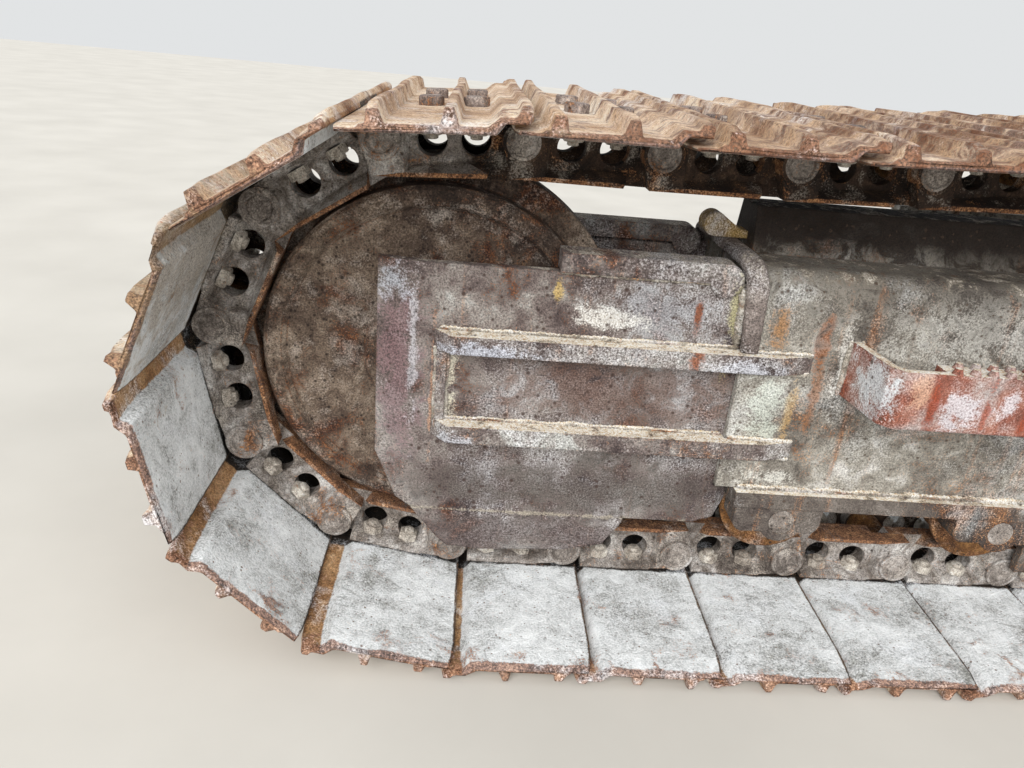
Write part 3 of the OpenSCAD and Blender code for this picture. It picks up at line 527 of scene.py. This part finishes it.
print("materials made:", len(materials))

# Shoes: the rolled profile carried across the chain, its bars worn down and its ends battered
shoeWear = {
    "tip": 3.6, "end": 7, "lean": 1.6, "endLean": 2.2, "blunt": 0.3,  # bars: worn off, leaned over, made blunt
    "chip": 4, "corner": 0.05, "middle": 96, "endRound": 2.6,  # ends: chipped, narrowed to a middle, rounded
    "bow": 0.7, "round": 1.8,  # plate and corners
}


def shoeProfile(u):
    # Thick lapped edge with the first bar, two more bars, and the thin edge that lies over the next shoe
    face = u["footDepth"] + u["shoeSeat"]
    under = face + u["shoeThickness"]
    lapFace = face + u["lapDrop"]
    tip = u["tipDepth"]
    p = u["pitch"]
    end = p + u["lap"]
    first, second, third = u["bars"]
    return np.array([
        (0, -lapFace), (24, -lapFace), (34, -face), (44, -face), (end - 7, -face), (end, -face),
        (end, -face - 4), (end - 1, -face - 5), (p + 2, -face - 5), (p - 4, -under),
        *[(bar + x, -z) for bar in (third, second) for x, z in ((10, under), (4, tip), (-4, tip), (-10, under))],
        (42, -under), (30, -lapFace - 9), (14, -lapFace - 9),
        (first + 4, -tip), (first - 4, -tip), (0, 4 - tip)], float)


def roundCorners(points, radius):
    # Each corner becomes three points of the parabola that touches both its sides
    before = np.roll(points, 1, 0) - points
    after = np.roll(points, -1, 0) - points
    beforeLength = np.linalg.norm(before, axis=1, keepdims=True)
    afterLength = np.linalg.norm(after, axis=1, keepdims=True)
    reach = np.minimum(radius, 0.4 * np.minimum(beforeLength, afterLength))
    a = points + before / beforeLength * reach
    b = points + after / afterLength * reach
    return np.stack([a, 0.25 * a + 0.5 * points + 0.25 * b, b], 1).reshape(-1, 2)


def makeShoes(wear):
    # Place on a shoe = profile point, moved in from the profile's side near the ends, its bars shortened and
    # leaned by smooth noise of shoe number, bar and width. Each ripple has its size in millimetres and its seed.
    u = unitSize
    corners = shoeProfile(u)
    profile = roundCorners(corners, wear["round"])
    side = np.roll(profile, -1, 0) - np.roll(profile, 1, 0)
    normal = np.stack([side[:, 1], -side[:, 0]], 1) / np.linalg.norm(side, axis=1, keepdims=True)
    half = u["shoeWidth"] / 2

    # Columns across, closer together at the worn ends
    w = np.array([0.13, 0.26, 0.30, 0.45, 0.66, 0.82, 0.91, 0.965, 0.988, 1])
    w = half * np.concatenate([-w[::-1], [0], w])
    inset = np.interp(np.abs(w) / half, [0.955, 0.985, 1], [0, 0.25, 1]) * wear["endRound"]
    number = np.arange(u["links"])[:, None, None]
    s = profile[:, 0] + 0 * number * w[:, None] + inset[:, None] * normal[:, 0]
    h = profile[:, 1] + 0 * s + inset[:, None] * normal[:, 1]
    across = w[:, None] + 0 * s

    # Depth runs from 0 at the plate to 1 at a bar's tip, and end from 0 to 1 over the last seventh of the width
    under = -u["footDepth"] - u["shoeSeat"] - u["shoeThickness"]
    depth = np.clip((under - h) / (u["tipDepth"] + under), 0, 1)
    end = smoothStep((np.abs(across) - 0.86 * half) / (0.14 * half))
    bar = np.round(s / u["barPitch"])
    spot = np.stack([number * 613.0 + 0 * s, bar * 271, across], -1)
    drop = wear["tip"] * (0.55 + 0.45 * ripple(spot, 260, 5)) + wear["end"] * end * (0.6 + 0.4 * ripple(spot, 90, 6))
    lean = wear["lean"] * ripple(spot, 340, 7) + wear["endLean"] * end * ripple(spot, 120, 8)
    flat = np.stack([number * 911.0 + 0 * s, s, across], -1)
    bow = wear["bow"] * ripple(flat, 420, 9) * smoothStep((np.abs(across) - 110) / 60)
    h2 = h + depth * np.clip(drop, 1.6, None) + bow
    barMiddle = np.choose(np.clip(bar, 0, 2).astype(int), u["bars"])
    s2 = s + depth * (lean + np.sign(s - barMiddle) * wear["blunt"] * drop)
    s2 = wear["middle"] + (s2 - wear["middle"]) * (1 - wear["corner"] * end)
    chip = wear["chip"] * end * np.clip(ripple(flat, 46, 10), 0, 1)
    across2 = across - np.sign(across) * chip
    points = onLinks(s2, across2, h2)

    # Quads along the profile, and the profile's own triangles as caps at both ends
    count, columns, rows = s2.shape
    faces = gridFaces(count, rows, columns)[:, ::-1].tolist()
    cap = np.array(tessellate_polygon([[Vector((*point, 0)) for point in profile]]))
    turned = np.sign(np.cross(profile[cap[:, 1]] - profile[cap[:, 0]], profile[cap[:, 2]] - profile[cap[:, 0]]))
    cap = np.where(turned[:, None] > 0, cap, cap[:, ::-1])
    start = np.arange(count)[:, None, None] * columns * rows
    faces += (start + cap[:, ::-1]).reshape(-1, 3).tolist()
    faces += (start + (columns - 1) * rows + cap).reshape(-1, 3).tolist()

    # Masks for the material: the side that the links touch, sheared ends, laps, painted shade between the links,
    # a painted shadow line at each seam, tips
    insideCorner = np.repeat(np.arange(len(corners)) < 6, 3).astype(float)
    plateEnd = u["pitch"] + u["lap"]
    layers = {
        "inner": insideCorner + 0 * s2,
        "rim": smoothStep((np.abs(across) - 0.967 * half) / (0.02 * half)),
        "nearEnd": smoothStep((np.abs(across) - 0.84 * half) / (0.12 * half)) * insideCorner,
        "lap": smoothStep((28 - s) / 9) * insideCorner,
        "paintedShadeBetweenLinks": smoothStep((88 - np.abs(across)) / 8) * insideCorner,
        "paintedSeamShadow": smoothStep((s - plateEnd + 6) / 6) * insideCorner,
        "tip": depth,
    }
    made = makeObject("shoes", points, faces, materials["rolledShoeSteel"], "unit", 40, layers)
    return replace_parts(made, "track_shoes")


makeShoes(shoeWear)
print("shoes made")


# Links: the CAD surface with its shared corners joined, and masks for the rails and the joints
def mergedSurface(nodeName):
    # A node's loose triangles with equal corners made one, in millimetres from the idler's axle
    source = nodes[nodeName]
    mesh = source.data
    co = np.empty(len(mesh.vertices) * 3)
    mesh.vertices.foreach_get("co", co)
    co = co.reshape(-1, 3) @ np.array(source.matrix_world)[:3, :3].T + np.array(source.matrix_world)[:3, 3]
    mesh.calc_loop_triangles()
    tri = np.empty(len(mesh.loop_triangles) * 3, int)
    mesh.loop_triangles.foreach_get("vertices", tri)
    kept, index = np.unique(np.round(co * 1e6).astype(np.int64), axis=0, return_inverse=True)
    tri = index.ravel()[tri].reshape(-1, 3)
    whole = (tri[:, 0] != tri[:, 1]) & (tri[:, 1] != tri[:, 2]) & (tri[:, 0] != tri[:, 2])
    return kept / 1e3 + origin, tri[whole]


# Where the marks on a link lie, in its own frame: the last three are a distance and how far the mark fades
linkMarks = {
    "railLow": 38.6, "wedge": (20, 48), "wedgeLow": -4, "bossReach": 46,
    # The rise and start pairs place the top run's painted shade
    "joint": (34, 8), "greaseRise": (70, 30), "greaseStart": (60, 160),
}


def makeLinks(nodeName, name, look):
    # By face, in its own link's frame: rail over the rail's lower edge and on the slope beside a joint, joint from
    # the distance to the nearest pin, painted shade on the top run and on the sides that face inwards
    points, faces = mergedSurface(nodeName)
    middle = points[faces].mean(1)
    normal = np.cross(points[faces[:, 1]] - points[faces[:, 0]], points[faces[:, 2]] - points[faces[:, 0]])
    normal /= np.linalg.norm(normal, axis=1, keepdims=True) + 1e-9
    away = middle[:, None, ::2] - linkStarts[None]
    s = (away * linkDirs).sum(-1)
    h = away[..., 1] * linkDirs[:, 0] - away[..., 0] * linkDirs[:, 1]
    miss = np.abs(s - unitSize["pitch"] / 2) + 4 * np.clip(np.abs(h) - look["bossReach"], 0, None)
    nearest = miss.argmin(1)
    row = np.arange(len(faces))
    s, h = s[row, nearest], h[row, nearest]
    along = np.abs((normal[:, ::2] * linkDirs[nearest]).sum(1))
    toPin = np.linalg.norm(middle[:, None, ::2] - pins[None], axis=-1).min(1)
    near, far = look["wedge"]
    wedge = (along > 0.75) & (h > look["wedgeLow"]) & (s > near) & (s < far)
    jointReach, jointFade = look["joint"]
    rise, riseFade = look["greaseRise"]
    start, startFade = look["greaseStart"]
    # Painted shade: the links on the top run and the sides that face inwards are darkened
    topRun = smoothStep((middle[:, 2] - 2 * wheelRadius + rise) / riseFade)
    topRun *= smoothStep((middle[:, 0] + start) / startFade)
    inwards = normal[:, 1] * np.sign(middle[:, 1]) < -0.5
    layers = {
        "rail": np.maximum(h > look["railLow"], wedge),
        "joint": smoothStep((jointReach - toPin) / jointFade),
        "grease": np.maximum(0.85 * topRun, 0.9 * inwards),
    }
    finish = materials["forgedLinkSteel"]
    made = makeObject(name, inRow(points), faces.tolist(), finish, "unit", 32, layers)
    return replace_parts(made, nodeName)


makeLinks("track_links_outboard", "linksOutboard", linkMarks)
makeLinks("track_links_inboard", "linksInboard", linkMarks)
print("links dressed")

# Pin ends: a dimpled face inside a ring of crimped metal
pinEndLook = {"sides": 24, "profile": [
    (0.05, -1.8), (4, -1.6), (6.5, -0.2), (12.5, -0.1), (14.2, -0.9), (15.2, -2.2), (16.4, -2.2), (17.4, -0.5),
    (20.3, -0.4), (21.8, -1.6), (22.2, -4.5)]}


def makePinEnds(look):
    # Profile of radius and height turned about each pin, at both ends
    r, height = np.array(look["profile"]).T
    a = np.arange(look["sides"]) * 2 * np.pi / look["sides"]
    faceSide = np.array([-1, 1])[:, None, None, None]
    k = np.arange(len(pins))[None, :, None, None]
    x = pins[k, 0] + r[:, None] * np.cos(a) + 0 * faceSide
    z = pins[k, 1] + faceSide * r[:, None] * np.sin(a)
    y = faceSide * (unitSize["pinHalf"] + height[:, None]) + 0 * x
    points = inRow(np.stack([x, y, z], -1))
    faces = gridFaces(2 * len(pins), look["sides"], len(r)).tolist()
    start = np.arange(2 * len(pins))[:, None] * len(r) * look["sides"]
    faces += (start + np.arange(look["sides"])[::-1]).tolist()
    made = makeObject("pinEnds", points, faces, materials["turnedPinSteel"], "unit", 50)
    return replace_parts(made, "track_pins")


makePinEnds(pinEndLook)
print("pin ends made")


# Bolts: hexagons with a chamfered top
def hexHeads(across, height, tail=0.0, tailRadius=0.0):
    # Rings of radius and height for a hexagon, with the bolt's end on top where it shows
    r = across / 2 / np.cos(np.pi / 6)
    rings = [(r, 0), (r, height - 1.6), (0.87 * r, height)]
    if tail:
        rings += [(tailRadius, height), (tailRadius, height + tail - 1), (0.75 * tailRadius, height + tail)]
    radius, z = np.array(rings).T
    a = np.arange(6) * np.pi / 3
    return np.stack([radius[:, None] * np.cos(a), radius[:, None] * np.sin(a), z[:, None] + 0 * a], -1)


def headFaces(copies, columns, start=0):
    # Quads round each hexagon's sides, and one face on its top
    tops = start + (np.arange(copies)[:, None] * columns + columns - 1) * 6 + np.arange(6)
    return (start + gridFaces(copies, 6, columns)).tolist() + tops.tolist()


def turnHeads(shape, count, seed):
    # Each copy turned about its own axis by a random angle
    a = np.random.default_rng(seed).uniform(0, np.pi / 3, count)[:, None, None]
    x = shape[..., 0] * np.cos(a) - shape[..., 1] * np.sin(a)
    y = shape[..., 0] * np.sin(a) + shape[..., 1] * np.cos(a)
    return x, y, shape[..., 2] + 0 * a


# Bolts of the shoes: places along the link and out from its middle, width and height of heads and nuts, and the
# height and radius of the bolt's end in a nut
shoeBoltLook = {"places": (56.5, 110.5), "out": 63, "head": (27, 11.5), "nut": (25, 12, 5, 8), "nutSeat": -16.5}


def makeShoeBolts(look):
    # On every link: two bolts a side, heads under the shoe's plate and nuts in the link's windows
    u = unitSize
    count = u["links"]
    plate = -u["footDepth"] - u["shoeSeat"] - u["shoeThickness"]
    for name, size, finish, level, way in (
            ("shoeBoltHeads", look["head"], "forgedBoltSteel", plate, -1),
            ("shoeNuts", look["nut"], "limedNutSteel", look["nutSeat"], 1)):
        shape = hexHeads(*size)
        allPoints, allFaces, start = [], [], 0
        for s in look["places"]:
            for side in (-1, 1):
                x, y, z = turnHeads(shape, count, int(200 + s + 7 * side + 100 * way))
                points = onLinks(s + x, side * look["out"] + y * way, level + way * z)
                allPoints.append(points.reshape(-1, 3))
                allFaces += headFaces(count, len(shape), start)
                start += points.size // 3
        makeObject(name, np.concatenate(allPoints), allFaces, materials[finish], "unit", 30)


makeShoeBolts(shoeBoltLook)


def makeBolts(name, places, axis, size):
    # Heads at places in millimetres, their axes along +Y or -Y
    shape = hexHeads(*size)
    at = np.asarray(places, float)
    x, y, z = turnHeads(shape, len(at), 1)
    points = np.stack([x, axis * z, axis * -y], -1) + at[:, None, None, :]
    faces = headFaces(len(at), len(shape))
    makeObject(name, inRow(points), faces, materials["forgedBoltSteel"], "unit", 30)


def ringOf(count, radius, y):
    # Places on a circle round the sprocket's axis
    a = (np.arange(count) + 0.5) * 2 * np.pi / count
    return np.stack([centres + radius * np.cos(a), 0 * a + y, wheelRadius + radius * np.sin(a)], 1)


def panelPlaces(u):
    # Four corners and two ends of the access cover
    middle = np.array([u["frameFront"] + u["frameHigh"] + 80, -u["frameHalf"] - 8.3, 320])
    return middle + [(-100, 0, 0), (100, 0, 0), (-55, 0, 50), (55, 0, 50), (-55, 0, -50), (55, 0, -50)]


boltLooks = {
    "coverBolts": (ringOf(12, unitSize["driveRadius"] - 38, -123), -1, (14, 7)),
    "caseBolts": (ringOf(24, unitSize["driveRadius"] + 1, -40), -1, (11, 6)),
    "motorBolts": (ringOf(10, 136, 97), 1, (19, 10)),
    "panelBolts": (panelPlaces(unitSize), -1, (17, 8)),
}
for boltName, boltLook in boltLooks.items():
    makeBolts(boltName, *boltLook)
print("bolts made")


# Weld beads: a lumpy round bead carried along each seam
beadLook = {"step": 2.4, "sides": 8, "wave": 6.3, "waveShare": 0.16, "slow": 60, "slowShare": 0.22, "drift": (45, 0.8)}

# Radii of the beads, and the places of seams that no size of the unit gives
seamSizes = {
    "ribBead": 3.4, "ribTail": 92, "stripBead": 3.0, "strips": (3, 18), "stripHeights": (220, 330),
    "edgeBead": 6, "edge": ((386, 405), (381, 432)), "bandBead": 3.2, "band": (150, 436.5),
    "barBead": 4.5, "bars": (424, 2440), "deckBead": 4,
    "stepBead": 3.4, "stepArms": (136, 151, 629, 644), "stepHeights": (300, 378),
    "legBead": 5, "legSpread": 395, "legHalf": 111, "legFoot": (208, 407), "legHead": (218, 421), "legTop": 32,
}


def beadRings(path, radius, seed, look):
    # Centre line at even steps with a slow drift, radius with a wave from the welder's hand and slow noise, closed
    # almost to points at both ends
    path = np.asarray(path, float)
    lengths = np.concatenate([[0], np.cumsum(np.linalg.norm(np.diff(path, axis=0), axis=1))])
    t = np.linspace(0, lengths[-1], max(int(lengths[-1] / look["step"]), 4))
    line = np.stack([np.interp(t, lengths, path[:, k]) for k in range(3)], 1)
    way = np.gradient(line, axis=0)
    way /= np.linalg.norm(way, axis=1, keepdims=True)
    aside = np.cross(way, np.where(np.abs(way[:, 1:2]) > 0.9, [[1.0, 0, 0]], [[0, 1.0, 0]]))
    aside /= np.linalg.norm(aside, axis=1, keepdims=True)
    over = np.cross(way, aside)
    slow = ripple(line, look["slow"], seed)
    r = radius * (1 + look["waveShare"] * np.sin(2 * np.pi * t / look["wave"]) + look["slowShare"] * slow)
    r *= np.clip(np.minimum(t, lengths[-1] - t) / radius, 0.02, 1) ** 0.5
    driftSize, drift = look["drift"]
    line = line + aside * (drift * ripple(line, driftSize, seed + 1))[:, None]
    a = np.arange(look["sides"]) * 2 * np.pi / look["sides"]
    return line[:, None] + r[:, None, None] * (np.cos(a)[:, None] * aside[:, None] + np.sin(a)[:, None] * over[:, None])


def makeBeads(seams, look):
    # One tube along each seam, closed by a face at both ends
    points, faces, start = [], [], 0
    sides = look["sides"]
    for k, (path, radius) in enumerate(seams):
        rings = beadRings(path, radius, 11 + k, look)
        points.append(rings.reshape(-1, 3))
        faces += (gridFaces(1, sides, len(rings))[:, ::-1] + start).tolist()
        last = start + len(rings) * sides
        faces += [list(range(start, start + sides)), list(range(last - sides, last))[::-1]]
        start = last
    makeObject("weldBeads", inRow(np.concatenate(points)), faces, materials["weldBeadSteel"], "unit", 60)


def boxSection(z, grow, x, turnSide=-1, low=None):
    # The frame's outline from its lower edge over the rounded shoulder to near its middle
    u = unitSize
    r = u["frameCorner"]
    a = np.radians(np.arange(0, 91, 10))
    y = np.concatenate([[u["frameHalf"] + grow], u["frameHalf"] - r + (r + grow) * np.cos(a), [u["frameMiddle"]]])
    height = np.concatenate([[low or u["barTop"] + 6], z - r + (r + grow) * np.sin(a), [z + grow]])
    return np.stack([0 * y + x, turnSide * y, height], 1)


def weldSeams(u, look):
    # Each seam's line with its bead's radius, a millimetre off the plates that it joins
    guardY = -u["guardFace"] - 1
    wallY = -u["frameHalf"] - 1
    back = u["frameFront"]
    seams = []
    for top in (u["ribTop"], u["ribTop"] - u["ribGap"]):
        for z in (top + 1, top - u["ribThickness"] - 1):
            seams.append(([(5, guardY, z), (back - 4, guardY, z)], look["ribBead"]))
            seams.append(([(back + 1, wallY - 0.5, z), (back + look["ribTail"], wallY - 0.5, z)], look["ribBead"]))
    low, high = look["stripHeights"]
    seams += [([(x, guardY, low), (x, guardY, high)], look["stripBead"]) for x in look["strips"]]
    (edgeX, edgeZ), (topX, topZ) = look["edge"]
    corners = [(edgeX, guardY, u["ribTop"] + 2), (edgeX, guardY, edgeZ), (topX, guardY, topZ)]
    seams.append((corners, look["edgeBead"]))
    start, z = look["band"]
    seams.append(([(start, guardY - 0.5, z), (back - 25, guardY - 0.5, z)], look["bandBead"]))
    start, end = look["bars"]
    for side in (-1, 1):
        y = side * (u["frameHalf"] + 1)
        seams.append(([(start, y, u["barTop"] + 2), (end, y, u["barTop"] + 2)], look["barBead"]))
        seams.append((boxSection(u["deck"], 1, back + u["frameHigh"] + 2, side)[1:], look["deckBead"]))
    low, high = look["stepHeights"]
    seams += [([(back + x, wallY, low), (back + x, wallY, high)], look["stepBead"]) for x in look["stepArms"]]
    half = look["legHalf"]
    legEnds = ((u["frameHalf"] + 2, look["legFoot"]), (u["jointOut"] - look["legTop"], look["legHead"]))
    for legX in (centres / 2 - look["legSpread"], centres / 2 + look["legSpread"]):
        for y, (low, high) in legEnds:
            corners = [(-half, low), (half, low), (half, high), (-half, high), (-half, low)]
            seams.append(([(legX + x, y, z) for x, z in corners], look["legBead"]))
    return seams


makeBeads(weldSeams(unitSize, seamSizes), beadLook)
print("weld beads made")

# Rim: the rounded band round the frame's mouth, above the upper rib
rimSize = {
    "low": 353, "climb": 90, "halfWidth": (12, 14), "height": (9, 12), "rings": 150, "sides": 18,
    "middle": ((353, 401), (440, 395), (475, 386), (480, 382)),  # the band's middle line: x at each height
    "batter": (70, 0.05), "waver": (50, 0.06),  # size and share of the dents in height and in width
}


def makeRim(look):
    # Flattened ellipse across the band, carried over the frame's outline and leaning forward as it climbs
    half = boxSection(unitSize["shoulder"], 0, 0, -1, look["low"])
    other = half[::-1] * [1, -1, 1]
    path = np.concatenate([half, other])
    lengths = np.concatenate([[0], np.cumsum(np.linalg.norm(np.diff(path, axis=0), axis=1))])
    t = np.linspace(0, lengths[-1], look["rings"])
    line = np.stack([np.interp(t, lengths, path[:, k]) for k in range(3)], 1)
    way = np.gradient(line, axis=0)
    out = np.stack([0 * t, way[:, 2], -way[:, 1]], 1)
    out /= -np.linalg.norm(out, axis=1, keepdims=True)
    climb = smoothStep((line[:, 2] - look["low"]) / look["climb"])
    (batterSize, batter), (waverSize, waver) = look["batter"], look["waver"]
    width = np.interp(climb, [0, 1], look["halfWidth"]) * (1 + waver * ripple(line, waverSize, 43))
    height = np.interp(climb, [0, 1], look["height"]) * (1 + batter * ripple(line, batterSize, 41))
    a = np.arange(look["sides"]) * 2 * np.pi / look["sides"]
    rise = np.sign(np.sin(a)) * np.minimum(np.abs(np.sin(a)) ** 0.5, np.where(np.sin(a) < 0, 0.2, 1))
    rings = line[:, None] + height[:, None, None] * rise[:, None] * out[:, None]
    rings[..., 0] += np.interp(line[:, 2], *np.transpose(look["middle"]))[:, None] + width[:, None] * np.cos(a)
    faces = gridFaces(1, len(a), len(t)).tolist()
    faces += [list(range(len(a)))[::-1], list(range(len(a) * (len(t) - 1), len(a) * len(t)))]
    made = makeObject("mouthRim", inRow(rings), faces, materials["batteredRimPlate"], "unit", 50)
    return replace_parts(made, "frame_mouth")


makeRim(rimSize)
print("rim made")

# Camera fitted to the chain's pins as the photo shows them
cameraLook = {"place": (35.85, -1068.24, 692.52), "pitch": 23.39, "yaw": 4.08, "roll": 5.29, "lens": 27.91}


def makeCamera(look):
    # Its axes: forward from yaw and downward pitch, right and up square to it and then turned by the roll
    pitch, yaw, roll = np.radians([look["pitch"], look["yaw"], look["roll"]])
    forward = np.array([np.sin(yaw) * np.cos(pitch), np.cos(yaw) * np.cos(pitch), -np.sin(pitch)])
    right = np.array([np.cos(yaw), -np.sin(yaw), 0])
    up = np.cross(right, forward)
    right, up = np.cos(roll) * right + np.sin(roll) * up, np.cos(roll) * up - np.sin(roll) * right
    data = bpy.data.cameras.new("camera")
    data.lens = look["lens"]
    data.sensor_width = 36
    data.clip_start = 0.02
    camera = bpy.data.objects.new("camera", data)
    bpy.context.scene.collection.objects.link(camera)
    turned = np.eye(4)
    turned[:3, :3] = np.stack([right, up, -forward], 1)
    turned[:3, 3] = inRow(look["place"])
    camera.matrix_world = Matrix(turned.tolist())
    bpy.context.scene.camera = camera


makeCamera(cameraLook)

# Pale floor, overcast sky and two broad lamps so far away that their light is even: strength, degrees, side
lightLook = {
    "sky": "#e7e9ea", "skyStrength": 0.95, "floor": [(0.3, "#c0bcb4"), (0.7, "#cac6be")], "floorHalf": 14,
    "lamps": {"mainLamp": (3.4, 41, (-2.8, -7.6, 5.0)), "fillLamp": (0.74, 48, (5.1, -4.8, 4.0))},
}


def makeStudio(look):
    # One square of floor at the height of the lowest shoe, and lamps that shine from their side at the unit
    half = look["floorHalf"]
    floorZ = cadBox[0].z
    mesh = bpy.data.meshes.new("floor")
    corners = [(-half, -half, floorZ), (half, -half, floorZ), (half, half, floorZ), (-half, half, floorZ)]
    mesh.from_pydata(corners, [], [(0, 1, 2, 3)])
    floor = bpy.data.objects.new("floor", mesh)
    bpy.context.scene.collection.objects.link(floor)
    material = bpy.data.materials.new("paleFloor")
    material.use_nodes = True
    tree = material.node_tree
    place = tree.nodes.new("ShaderNodeTexCoord").outputs["Object"]
    tone = put(tree, "TexNoise", {"Vector": place, "Scale": 3, "Detail": 6})
    colour = put(tree, "ValToRGB", {"Fac": tone}, stops=look["floor"])
    shader = tree.nodes["Principled BSDF"]
    shader.inputs["Roughness"].default_value = 0.9
    tree.links.new(colour, shader.inputs["Base Color"])
    mesh.materials.append(material)
    world = bpy.data.worlds.new("sky")
    bpy.context.scene.world = world
    world.use_nodes = True
    world.node_tree.nodes["Background"].inputs["Color"].default_value = linear(look["sky"])
    world.node_tree.nodes["Background"].inputs["Strength"].default_value = look["skyStrength"]
    for name, (strength, width, side) in look["lamps"].items():
        data = bpy.data.lights.new(name, "SUN")
        data.energy = strength
        data.angle = np.radians(width)
        lamp = bpy.data.objects.new(name, data)
        lamp.location = side
        lamp.rotation_mode = "QUATERNION"
        lamp.rotation_quaternion = Vector(side).to_track_quat("Z", "Y")
        bpy.context.scene.collection.objects.link(lamp)
    bpy.context.scene.view_settings.view_transform = "Standard"


makeStudio(lightLook)
print("camera and studio made")
